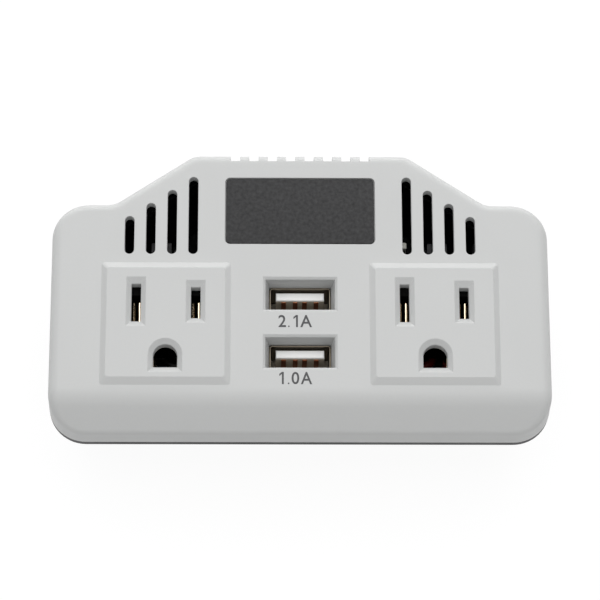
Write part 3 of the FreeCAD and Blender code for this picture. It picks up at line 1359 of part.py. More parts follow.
def fan_rotor():
    """Hub cup with its shaft and swept blades."""
    rotor = new_body("fan_rotor")
    rotor.AllowCompound = True
    hub, skin, roof = "motor_radius", "(motor_radius-hub_wall)", "(hub_front+hub_wall)"
    back, shaft_end = "(hub_front+hub_length)", "(fan_depth-0.4)"
    profile = [
        ("0", "hub_front"), (hub + "-0.6", "hub_front"), (hub, "hub_front+0.6"), (hub, back), (skin, back),
        (skin, roof), ("shaft_radius", roof), ("shaft_radius", shaft_end), ("0", shaft_end),
    ]
    revolve(rotor, polygon(sketch(rotor, "HubProfile", role="XZ_Plane"), profile), name="Hub")

    # One blade between a plane inside the hub wall and one past the tip, trimmed to the tip radius.
    root_y, tip_y = "(motor_radius-hub_wall/2)", "blade_tip_radius+1"
    near, far = "(hub_front+0.2)", "(hub_front+0.2+blade_length)"
    sections = []
    for end, level, sweep in (("Root", root_y, "blade_root_sweep"), ("Tip", tip_y, "blade_tip_sweep")):
        plan = sketch(rotor, "Blade" + end, "-(%s)" % level, "XZ_Plane")
        half, t = "(%s/2)" % sweep, "blade_thickness"
        polygon(plan, [("-%s" % half, near), ("%s-%s" % (t, half), near),
                       ("%s+%s" % (half, t), far), (half, far)])
        sections.append(plan)
    blade = loft(rotor, sections[0], sections[1], name="Blade")
    ring_of(rotor, blade, count("blade_count"), "Blades")
    trim = sketch(rotor, "TipPlan")
    circle(trim, "0", "0", "blade_tip_radius")
    circle(trim, "0", "0", "blade_tip_radius*1.6")
    pocket(rotor, trim, "fan_depth", up=True, name="TipTrim")
    return place_fan(rotor)


def fan_magnet():
    magnet = new_body("fan_magnet")
    outer = "(motor_radius-hub_wall-fastener_gap)"
    plan = sketch(magnet, "RingPlan", "hub_front+hub_length-magnet_length-0.2")
    circle(plan, "0", "0", outer)
    circle(plan, "0", "0", outer + "-magnet_thickness")
    pad(magnet, plan, "magnet_length")
    return place_fan(magnet)


def fan_plug():
    """Two-way plug of the fan's leads, bonded on top of the right heat sink."""
    plug = new_body("fan_plug")
    pad(plug, rectangle(sketch(plug, "Plan"), "0", "0", "plug_width", "plug_thickness", "0.2"), "plug_height")
    return place(plug, "plug_x", "plug_y", BOARD_TOP + "+sink_height")


# Leads from the board to the outlets: straight runs joined by tangent arcs

def lead_path(corners, radius):
    """A smooth path through the corners, each rounded by the same radius."""
    edges = []
    start = corners[0]
    for before, corner, after in zip(corners, corners[1:], corners[2:]):
        into, out = (corner - before).normalize(), (after - corner).normalize()
        half_turn = into.getAngle(out) / 2
        run = radius * math.tan(half_turn)
        first, last = corner - into * run, corner + out * run
        middle = corner + (out - into).normalize() * (radius / math.cos(half_turn) - radius)
        edges.append(Part.makeLine(start, first))
        edges.append(Part.Arc(first, middle, last).toShape())
        start = last
    edges.append(Part.makeLine(start, corners[-1]))
    return Part.Wire(edges)


def lead(label, points):
    """One insulated lead, swept along its path."""
    corners = [Vector(*(value(text) for text in point)) for point in points]
    path = lead_path(corners, value("lead_bend"))
    radius = value("lead_radius")
    way = (corners[1] - corners[0]).normalize()
    side = way.cross(Vector(0, 0, 1))
    sides = count("lead_sides")
    rim = []
    for number in range(sides + 1):
        turn = 2 * math.pi * (number % sides + 0.5) / sides
        rim.append(corners[0] + side * (radius * math.cos(turn)) + Vector(0, 0, radius * math.sin(turn)))
    ring = Part.makePolygon(rim)
    made = doc.addObject("Part::Feature", label)
    made.Label = label
    made.Shape = path.makePipeShell([ring], True, False)
    even = sides / 2 * math.sin(2 * math.pi / sides) * radius ** 2 * path.Length
    if abs(made.Shape.Volume - even) > 0.01 * even:
        raise RuntimeError("%s is not an even tube" % label)
    print("%s bends by %.2f mm over %.1f mm" % (label, value("lead_bend"), path.Length))
    return made


def outlet_leads():
    """Hot, neutral and ground leads, each from a contact's tail to the board below."""
    level = BLOCK_FOOT + "-lead_gap-lead_radius"
    blades_y, ground_y = "(slot_line_y-leaf_drop)", "(slot_line_y-ground_drop)"
    members = {"hot": [], "neutral": [], "ground": []}
    for side, sign in outlet_sides():
        outer, inner = ("hot", "neutral") if sign == "1" else ("neutral", "hot")
        drop_x, turn_x = sign + "*lead_drop_x", sign + "*lead_turn_x"
        start = sign + "*(outlet_spacing/2%s-leaf_thickness/2)"
        members[outer].append(lead("%s_lead_%s" % (outer, side), [
            (start % "+blade_spacing/2", blades_y, level), (turn_x, blades_y, level),
            (turn_x, "lead_turn_y", level), (drop_x, "lead_turn_y", level),
            (drop_x, "lead_turn_y", BOARD_TOP)]))
        members[inner].append(lead("%s_lead_%s" % (inner, side), [
            (start % "-blade_spacing/2", blades_y, level), (drop_x, blades_y, level),
            (drop_x, blades_y, BOARD_TOP)]))
        members["ground"].append(lead("ground_lead_" + side, [
            (start % "", ground_y, level), (drop_x, ground_y, level), (drop_x, ground_y, BOARD_TOP)]))
    return [group(wire + "_leads", pair) for wire, pair in members.items()]


def build():
    """Every sub-part, in the order in which the inverter would come apart."""
    parts = [front_shell(), rear_shell(), name_plate(), case_screws()]
    for side, sign in outlet_sides():
        parts.append(contact_block(side, sign))
        parts += outlet_contacts(side, sign)
    parts.append(small_screws("block_screws", block_screw_places(), BLOCK_FOOT, True))
    for port, y in usb_places():
        parts += usb_port(port, y)
    parts += [usb_board(), usb_inductor()]
    parts.append(small_screws("usb_screws", usb_screw_places(), USB_BOARD_TOP + "-board_thickness", True))
    parts.append(main_board())
    parts.append(small_screws("board_screws", board_screw_places(), BOARD_TOP, False))
    parts += transformer() + choke() + fuse()
    parts += [can("input_capacitor", "capacitor_length", -1)]
    parts += [can("output_capacitor", "bus_capacitor_length", 1)]
    parts += [film_capacitor(), battery_terminals(), cord_bush()]
    for side, sign in outlet_sides():
        parts += [heat_sink(side, sign), transistors(side, sign)]
    parts += [fan_frame(), fan_coil(), fan_rotor(), fan_magnet(), fan_plug()]
    parts += outlet_leads()
    return parts


def export(parts):
    """Write one file for each sub-part once every object in the document is sound."""
    doc.recompute()
    for thing in doc.Objects:
        if "Invalid" in thing.State or "Error" in thing.State:
            raise RuntimeError("%s is in state %s" % (thing.Label, thing.State))
    for part in parts:
        shape = part.Shape
        if shape.isNull() or not shape.isValid() or not shape.Solids:
            raise RuntimeError("%s has no sound shape" % part.Label)
    os.makedirs("parts", exist_ok=True)
    for part in parts:
        part.Shape.exportStep("parts/%s.step" % part.Label)


export(build())
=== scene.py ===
import math

import bmesh
import bpy
from bpy.props import FloatProperty, FloatVectorProperty, IntProperty, PointerProperty
from mathutils import Matrix, Vector


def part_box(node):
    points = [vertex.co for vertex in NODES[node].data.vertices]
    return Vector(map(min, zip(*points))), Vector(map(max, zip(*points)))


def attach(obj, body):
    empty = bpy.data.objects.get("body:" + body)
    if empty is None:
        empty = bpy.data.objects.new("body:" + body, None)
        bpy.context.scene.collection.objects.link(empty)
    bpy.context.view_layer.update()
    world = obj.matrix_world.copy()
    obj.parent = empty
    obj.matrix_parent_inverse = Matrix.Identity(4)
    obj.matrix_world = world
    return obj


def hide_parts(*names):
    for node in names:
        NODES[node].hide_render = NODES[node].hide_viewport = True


bl_info = {
    "name": "Power Inverter",
    "version": (1, 0, 0),
    "blender": (4, 5, 0),
    "location": "View3D > Sidebar > Inverter",
    "description": "Finished pieces and materials of a compact car power inverter",
    "category": "Object",
}

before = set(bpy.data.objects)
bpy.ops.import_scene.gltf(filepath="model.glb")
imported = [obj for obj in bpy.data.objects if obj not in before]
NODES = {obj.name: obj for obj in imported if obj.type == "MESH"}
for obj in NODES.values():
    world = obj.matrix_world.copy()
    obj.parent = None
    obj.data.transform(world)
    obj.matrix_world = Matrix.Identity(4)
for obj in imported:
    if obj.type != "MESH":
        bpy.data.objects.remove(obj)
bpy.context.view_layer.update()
MM = 0.001


def node_box(name):
    """Lowest and highest corner of a CAD node, in millimetres."""
    low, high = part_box(name)
    return Vector(low) / MM, Vector(high) / MM


def face_level():
    """Height of the flat face in millimetres: the plate lies 0.1 mm under it."""
    return node_box("name_plate")[1].z + 0.1


# Settings that a user would change

class CaseSettings(bpy.types.PropertyGroup):
    """Colours and finish of the two case shells and the plate."""
    face_colour: FloatVectorProperty(
        name="Face colour", description="Moulded plastic of the front shell",
        subtype="COLOR", size=3, min=0.0, max=1.0, default=(0.585, 0.592, 0.588))
    tub_colour: FloatVectorProperty(
        name="Tub colour", description="Moulded plastic of the rear shell",
        subtype="COLOR", size=3, min=0.0, max=1.0, default=(0.012, 0.012, 0.013))
    plate_colour: FloatVectorProperty(
        name="Plate colour", description="Printed film of the name plate",
        subtype="COLOR", size=3, min=0.0, max=1.0, default=(0.038, 0.038, 0.039))
    ink_colour: FloatVectorProperty(
        name="Ink colour", description="Printed ratings under the USB ports",
        subtype="COLOR", size=3, min=0.0, max=1.0, default=(0.045, 0.045, 0.048))
    mouth_chamfer: FloatProperty(
        name="Mouth chamfer", description="Chamfer round both USB mouths",
        unit="LENGTH", min=0.0001, default=0.00045)
    edge_softness: FloatProperty(
        name="Edge softness", description="Rounding that light finds on every moulded edge",
        unit="LENGTH", min=0.0, default=0.00022)
    grain_size: FloatProperty(
        name="Grain size", description="Spacing of the moulded surface grain",
        unit="LENGTH", min=0.00005, default=0.00042)


class PortSettings(bpy.types.PropertyGroup):
    """Sizes and colours of the USB ports and the outlets' contacts."""
    sheet: FloatProperty(
        name="Shell sheet", description="Sheet of a port's metal shell",
        unit="LENGTH", min=0.0001, default=0.0003)
    tongue_colour: FloatVectorProperty(
        name="Tongue colour", description="White insulator of a port",
        subtype="COLOR", size=3, min=0.0, max=1.0, default=(0.92, 0.92, 0.91))
    brass_colour: FloatVectorProperty(
        name="Brass colour", description="Rolled strip of the outlet contacts",
        subtype="COLOR", size=3, min=0.0, max=1.0, default=(0.76, 0.63, 0.46))


class InsideSettings(bpy.types.PropertyGroup):
    """Windings and boards inside the case."""
    wire: FloatProperty(
        name="Winding wire", description="Thickness of the enamelled wire",
        unit="LENGTH", min=0.0002, default=0.0008)
    choke_turns: IntProperty(
        name="Choke turns", description="Turns on the ring choke", min=3, default=15)
    board_colour: FloatVectorProperty(
        name="Board colour", description="Solder mask of both boards",
        subtype="COLOR", size=3, min=0.0, max=1.0, default=(0.012, 0.10, 0.035))


class StudioSettings(bpy.types.PropertyGroup):
    """Lamps and the light of the surroundings."""
    overhead_power: FloatProperty(
        name="Overhead lamp", description="Power of the large lamp above the face",
        subtype="POWER", min=0.0, default=7.9)
    strip_power: FloatProperty(
        name="Strip lamp", description="Power of the low lamp behind the fan wall",
        subtype="POWER", min=0.0, default=5.1)
    ring: FloatProperty(
        name="Ring light", description="Brightness of the band of light half-way up all round",
        min=0.0, default=0.61)
    ambient: FloatProperty(
        name="Ambient light", description="Brightness of the other surroundings for matt surfaces",
        min=0.0, default=0.215)


# Selecting and shaping

def activate(piece):
    """Select one object alone."""
    if bpy.context.object and bpy.context.object.mode != "OBJECT":
        bpy.ops.object.mode_set(mode="OBJECT")
    bpy.ops.object.select_all(action="DESELECT")
    piece.select_set(True)
    bpy.context.view_layer.objects.active = piece


def pick(piece, kind, test):
    """In edit mode, select the vertices, edges or faces that pass a test."""
    activate(piece)
    bpy.ops.object.mode_set(mode="EDIT")
    bpy.ops.mesh.select_mode(type=kind)
    bpy.ops.mesh.select_all(action="DESELECT")
    mesh = bmesh.from_edit_mesh(piece.data)
    items = {"VERT": mesh.verts, "EDGE": mesh.edges, "FACE": mesh.faces}[kind]
    passed = [item for item in items if test(item)]
    for item in passed:
        item.select_set(True)
    bmesh.update_edit_mesh(piece.data)
    if not passed:
        raise RuntimeError("nothing to select on " + piece.name)


def leave_edit():
    bpy.ops.object.mode_set(mode="OBJECT")


def apply_place(piece):
    activate(piece)
    bpy.ops.object.transform_apply(location=True, rotation=True, scale=True)


def primitive(name, add, **options):
    """A new primitive, alone in the selection."""
    bpy.ops.object.select_all(action="DESELECT")
    add(**options)
    piece = bpy.context.object
    piece.name = name
    return piece


def block(name, low, high):
    """A box between two corners, in millimetres, to be shaped further."""
    low, high = Vector(low) * MM, Vector(high) * MM
    piece = primitive(name, bpy.ops.mesh.primitive_cube_add, size=1, location=(low + high) / 2)
    piece.scale = high - low
    apply_place(piece)
    return piece


def disc(name, foot, radius, length, sides=40):
    """An upright cylinder on the middle of its foot, in millimetres."""
    middle = Vector(foot) * MM + Vector((0, 0, length * MM / 2))
    piece = primitive(name, bpy.ops.mesh.primitive_cylinder_add, vertices=sides, radius=radius * MM,
                      depth=length * MM, location=middle)
    apply_place(piece)
    return piece


def extrude(*way):
    """In edit mode, extrude what is selected by this many millimetres."""
    bpy.ops.mesh.extrude_region_move(TRANSFORM_OT_translate={"value": [step * MM for step in way]})


def bevel_edges(piece, test, width, segments=3):
    pick(piece, "EDGE", test)
    bpy.ops.mesh.bevel(offset=width * MM, segments=segments, affect="EDGES")
    leave_edit()


def upright(edge):
    way = edge.verts[1].co - edge.verts[0].co
    return abs(way.z) > 0.99 * way.length


def level_at(height):
    """A test for edges that lie at one height, in millimetres."""
    return lambda edge: all(abs(vertex.co.z - height * MM) < 2e-6 for vertex in edge.verts)


def faces_up(face):
    return face.normal.z > 0.99


def thicken(piece, sheet, side):
    """Give a surface its sheet in millimetres, on its outer side (1) or its inner one (-1)."""
    activate(piece)
    change = piece.modifiers.new("Sheet", "SOLIDIFY")
    change.thickness = sheet * MM
    change.offset = side
    bpy.ops.object.modifier_apply(modifier=change.name)


def cut_away(piece, cutter):
    """Remove a cutter's space from a piece."""
    activate(piece)
    change = piece.modifiers.new("Cut", "BOOLEAN")
    change.operation = "DIFFERENCE"
    change.solver = "EXACT"
    change.object = cutter
    bpy.ops.object.modifier_apply(modifier=change.name)
    bpy.data.objects.remove(cutter)


def join(pieces, name):
    activate(pieces[0])
    for piece in pieces[1:]:
        piece.select_set(True)
    if len(pieces) > 1:
        bpy.ops.object.join()
    joined = bpy.context.object
    joined.name = name
    return joined


def moved_copy(piece, offset):
    """A copy with its own mesh, moved by millimetres."""
    copy = piece.copy()
    copy.data = piece.data.copy()
    bpy.context.scene.collection.objects.link(copy)
    copy.data.transform(Matrix.Translation(Vector(offset) * MM))
    return copy


def merged_copy(node, name):
    """A copy of a CAD node with its triangles joined at their shared corners."""
    piece = bpy.data.objects.new(name, NODES[node].data.copy())
    bpy.context.scene.collection.objects.link(piece)
    piece.data.materials.clear()
    activate(piece)
    bpy.ops.mesh.customdata_custom_splitnormals_clear()
    bpy.ops.object.mode_set(mode="EDIT")
    bpy.ops.mesh.select_all(action="SELECT")
    bpy.ops.mesh.remove_doubles(threshold=1e-6)
    leave_edit()
    return piece


def hand_over(piece, material, nodes=(), body="case", smooth=30.0):
    """Shade a piece, give it its finish, and let it ride on its body in place of its nodes."""
    apply_place(piece)
    bpy.ops.object.shade_smooth_by_angle(angle=math.radians(smooth))
    piece.data.materials.clear()
    piece.data.materials.append(material)
    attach(piece, body)
    if nodes:
        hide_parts(*nodes)
    return piece


def dress(node, name, material, body="case", smooth=30.0):
    return hand_over(merged_copy(node, name), material, (node,), body, smooth)


# Finishes

def shade(colour, factor):
    return tuple(min(1.0, channel * factor) for channel in colour) + (1.0,)


def connect(tree, node, inputs):
    """Set a node's inputs to values, or link them to other nodes' outputs."""
    for name, value in inputs.items():
        if isinstance(value, bpy.types.NodeSocket):
            tree.links.new(value, node.inputs[name])
        else:
            node.inputs[name].default_value = value


def add_node(tree, kind, inputs=None, **traits):
    """A shader node with its traits and its inputs."""
    node = tree.nodes.new("ShaderNode" + kind)
    for name, value in traits.items():
        setattr(node, name, value)
    connect(tree, node, inputs or {})
    return node


def new_finish(name):
    """An empty material with its shader linked to the output."""
    material = bpy.data.materials.new(name)
    material.use_nodes = True
    tree = material.node_tree
    tree.nodes.clear()
    shader = add_node(tree, "BsdfPrincipled")
    add_node(tree, "OutputMaterial", {"Surface": shader.outputs["BSDF"]})
    return material, tree, shader


def object_place(tree, stretch=(1.0, 1.0, 1.0)):
    """Object coordinates, stretched where the finish has a direction."""
    place = add_node(tree, "TexCoord").outputs["Object"]
    if stretch != (1.0, 1.0, 1.0):
        place = add_node(tree, "Mapping", {"Vector": place, "Scale": stretch}).outputs["Vector"]
    return place


def noise(tree, place, size, detail=3.0):
    """Fine irregular variation whose features are about this many millimetres wide."""
    inputs = {"Vector": place, "Scale": 1.0 / (size * MM), "Detail": detail}
    return add_node(tree, "TexNoise", inputs).outputs["Fac"]


def work_out(tree, operation, *values):
    """The result of one operation on numbers and on other nodes' outputs."""
    return add_node(tree, "Math", dict(enumerate(values)), operation=operation).outputs[0]


def map_range(tree, value, low, high, start, end, **traits):
    """A value between two limits, mapped onto a start and an end."""
    inputs = {"Value": value, "From Min": low, "From Max": high, "To Min": start, "To Max": end}
    return add_node(tree, "MapRange", inputs, **traits).outputs["Result"]


def spread(tree, factor, low, high):
    """Map the middle of a noise onto a range."""
    return map_range(tree, factor, 0.3, 0.7, low, high)


def blend_colours(tree, factor, first, second, blend="MIX"):
    """Two colours mixed by a factor."""
    inputs = {"Factor": factor, "A": first, "B": second}
    return add_node(tree, "Mix", inputs, data_type="RGBA", blend_type=blend).outputs["Result"]


def soft_edges(tree, radius, samples=6):
    """Normals that round every edge by a radius, in metres."""
    return add_node(tree, "Bevel", {"Radius": radius}, samples=samples).outputs["Normal"]


def bump(tree, height, strength, depth, below=None):
    """Normals of a relief as deep as this many millimetres, on top of others."""
    inputs = {"Height": height, "Strength": strength, "Distance": depth * MM}
    if below:
        inputs["Normal"] = below
    return add_node(tree, "Bump", inputs).outputs["Normal"]


def finish(name, colour, rough, metallic=0.0, mottle=0.06, mottle_size=3.0, rough_spread=0.06,
           grain=0.2, grain_size=0.4, grain_depth=0.02, stretch=(1.0, 1.0, 1.0), soft_edge=0.0,
           turns=None, gloss=0.5):
    """A moulded, rolled or drawn surface: slow mottle, fine grain and, for wire, turns.

    Its sizes are in millimetres, apart from soft_edge. turns holds direction, pitch and depth.
    """
    material, tree, shader = new_finish(name)
    place = object_place(tree, stretch)
    slow = noise(tree, place, mottle_size)
    normal = soft_edges(tree, soft_edge) if soft_edge else None
    if turns:
        direction, pitch, depth = turns
        wave = add_node(tree, "TexWave", {"Vector": place, "Scale": 2 * math.pi / (20 * pitch * MM)},
                        wave_type="BANDS", bands_direction=direction)
        normal = bump(tree, wave.outputs["Fac"], 1.0, depth, normal)
    connect(tree, shader, {
        "Base Color": blend_colours(tree, slow, shade(colour, 1 - mottle), shade(colour, 1 + mottle)),
        "Metallic": metallic,
        "Roughness": spread(tree, slow, max(0.02, rough - rough_spread), min(1.0, rough + rough_spread)),
        "Specular IOR Level": gloss,
        "Normal": bump(tree, noise(tree, place, grain_size, 2.0), grain, grain_depth, normal),
    })
    return material


def face_plastic(settings):
    """Pale satin plastic with a fine spark-eroded grain and a trace of flow."""
    material, tree, shader = new_finish("face_plastic")
    colour = tuple(settings.face_colour)
    place = object_place(tree)
    flow = noise(tree, place, 14.0, 2.0)
    fleck = noise(tree, place, 0.6, 2.0)
    grain = noise(tree, place, settings.grain_size / MM, 2.0)
    base = blend_colours(tree, flow, shade(colour, 0.985), shade(colour, 1.015))
    specks = blend_colours(tree, fleck, (0.965, 0.965, 0.965, 1.0), (1.0, 1.0, 1.0, 1.0))
    connect(tree, shader, {
        "Base Color": blend_colours(tree, 1.0, base, specks, "MULTIPLY"),
        "Roughness": spread(tree, fleck, 0.46, 0.58),
        "Specular IOR Level": 0.42,
        "Normal": bump(tree, grain, 0.22, 0.03, soft_edges(tree, settings.edge_softness, samples=8)),
    })
    return material


def board_finish(settings):
    """Solder mask over traces that run square to the board's edges."""
    material, tree, shader = new_finish("board_mask")
    colour = tuple(settings.board_colour)
    place = object_place(tree)
    traces = add_node(tree, "TexBrick", {
        "Vector": place, "Scale": 1.0, "Brick Width": 0.0052, "Row Height": 0.0021,
        "Mortar Size": 0.00028, "Mortar Smooth": 0.1, "Color1": shade(colour, 0.9),
        "Color2": shade(colour, 1.1), "Mortar": shade(colour, 1.9),
    })
    connect(tree, shader, {
        "Base Color": traces.outputs["Color"],
        "Roughness": spread(tree, noise(tree, place, 2.0), 0.3, 0.42),
        "Normal": bump(tree, traces.outputs["Fac"], 0.6, 0.04),
    })
    return material


# The case

class INVERTER_OT_front_case(bpy.types.Operator):
    """Front shell in pale grained plastic"""
    bl_idname = "inverter.front_case"
    bl_label = "Front case"

    def execute(self, context):
        settings = context.scene.inverter_case
        case = merged_copy("front_shell", "front_case")
        bpy.ops.object.mode_set(mode="EDIT")
        bpy.ops.mesh.select_all(action="SELECT")
        bpy.ops.mesh.dissolve_limited(angle_limit=math.radians(0.5))
        leave_edit()
        face = face_level()

        # The two USB mouths have chamfered rims, softened by the finish. They lie within these
        # distances from the middle of the case and from the ports' shells.
        half_width, reach = 7.8, 2.2
        near = node_box("usb_shell_lower")[0].y - reach
        far = node_box("usb_shell_upper")[1].y + reach
        pick(case, "EDGE", lambda edge: level_at(face)(edge) and edge.calc_face_angle(0.0) > 0.5 and all(
            abs(v.co.x / MM) < half_width and near < v.co.y / MM < far for v in edge.verts))
        bpy.ops.mesh.bevel(offset=settings.mouth_chamfer, segments=1, affect="EDGES", loop_slide=False)
        leave_edit()
        hand_over(case, face_plastic(settings), ("front_shell",), smooth=22.0)
        return {"FINISHED"}


class INVERTER_OT_rear_case(bpy.types.Operator):
    """Rear shell in black satin plastic"""
    bl_idname = "inverter.rear_case"
    bl_label = "Rear case"

    def execute(self, context):
        settings = context.scene.inverter_case
        plastic = finish("tub_plastic", tuple(settings.tub_colour), 0.48, mottle=0.12, mottle_size=9.0,
                         rough_spread=0.05, grain=0.3, grain_size=settings.grain_size / MM,
                         grain_depth=0.035, soft_edge=settings.edge_softness, gloss=0.3)
        dress("rear_shell", "rear_case", plastic, smooth=22.0)
        return {"FINISHED"}


class INVERTER_OT_name_plate(bpy.types.Operator):
    """Bare dark plate with rounded corners and a softened top edge"""
    bl_idname = "inverter.name_plate"
    bl_label = "Name plate"

    def execute(self, context):
        low, high = node_box("name_plate")
        plate = block("face_plate", low, high)
        bevel_edges(plate, upright, 0.9, 8)
        bevel_edges(plate, level_at(high.z), 0.12, 3)
        film = finish("plate_film", tuple(context.scene.inverter_case.plate_colour), 0.6, mottle=0.95,
                      mottle_size=0.75, rough_spread=0.05, grain=0.5, grain_size=0.3, grain_depth=0.03,
                      gloss=0.2)
        hand_over(plate, film, ("name_plate",))
        return {"FINISHED"}


class INVERTER_OT_port_ratings(bpy.types.Operator):
    """Printed current ratings under the two USB ports"""
    bl_idname = "inverter.port_ratings"
    bl_label = "Port ratings"

    # Height of a figure and of the dot, thickness of the ink and its gap to the face.
    FIGURE, DOT, INK, GAP = 2.72, 0.36, 0.012, 0.004

    def execute(self, context):
        ink = finish("rating_ink", tuple(context.scene.inverter_case.ink_colour), 0.55, mottle=0.15,
                     mottle_size=0.5, grain=0.15, grain_size=0.15)

        # Each mark with its left side and width, on its rating's foot line.
        for name, foot, marks in (
                ("rating_upper", -8.93, (("2", -4.65, 1.62), (".", -2.6, 0.34), ("1", -1.45, 0.95),
                                         ("A", 0.0, 2.5))),
                ("rating_lower", -21.66, (("1", -4.45, 0.95), (".", -2.65, 0.34), ("0", -1.85, 1.62),
                                          ("A", 0.1, 2.4)))):
            pieces = [self.flagged_one(left, width, foot) if mark == "1"
                      else self.printed(mark, left, width, foot) for mark, left, width in marks]
            rating = join(pieces, name)
            rating.data.transform(Matrix.Translation((0, 0, (face_level() + self.GAP) * MM)))
            thicken(rating, self.INK, 1.0)
            hand_over(rating, ink)
        return {"FINISHED"}

    def printed(self, mark, left, width, foot):
        """One flat character, stretched into its place."""
        height = self.DOT if mark == "." else self.FIGURE
        letter = primitive("mark", bpy.ops.object.text_add)
        letter.data.body = mark
        letter.data.resolution_u = 6
        letter.data.offset = 0.012
        bpy.ops.object.convert(target="MESH")
        corners = [Vector(corner) for corner in letter.bound_box]
        x, right = min(c.x for c in corners), max(c.x for c in corners)
        y, top = min(c.y for c in corners), max(c.y for c in corners)
        stretch = Matrix.Diagonal((width * MM / (right - x), height * MM / (top - y), 1.0, 1.0))
        letter.data.transform(Matrix.Translation(Vector((left, foot, 0)) * MM) @ stretch
                              @ Matrix.Translation((-x, -y, 0.0)))
        return letter

    def flagged_one(self, left, width, foot):
        """A figure one: an upright stroke with a slanted flag at its top."""
        stroke, flag, drop = 0.4, 0.46, 0.45
        one = primitive("mark", bpy.ops.mesh.primitive_plane_add, size=1)
        one.scale = (stroke * MM, self.FIGURE * MM, 1.0)
        one.location = Vector((left + width - stroke / 2, foot + self.FIGURE / 2, 0)) * MM
        apply_place(one)
        edge_x, edge_y = (left + width - stroke) * MM, (foot + self.FIGURE - flag) * MM
        pick(one, "FACE", lambda face: True)
        bpy.ops.mesh.bisect(plane_co=(0, edge_y, 0), plane_no=(0, 1, 0))
        leave_edit()
        pick(one, "EDGE", lambda edge: all(abs(v.co.x - edge_x) < 1e-6 and v.co.y > edge_y - 1e-6
                                           for v in edge.verts))
        extrude(stroke - width, -drop, 0)
        bpy.ops.mesh.select_all(action="SELECT")
        bpy.ops.mesh.normals_make_consistent(inside=False)
        leave_edit()
        return one


# USB ports and outlets

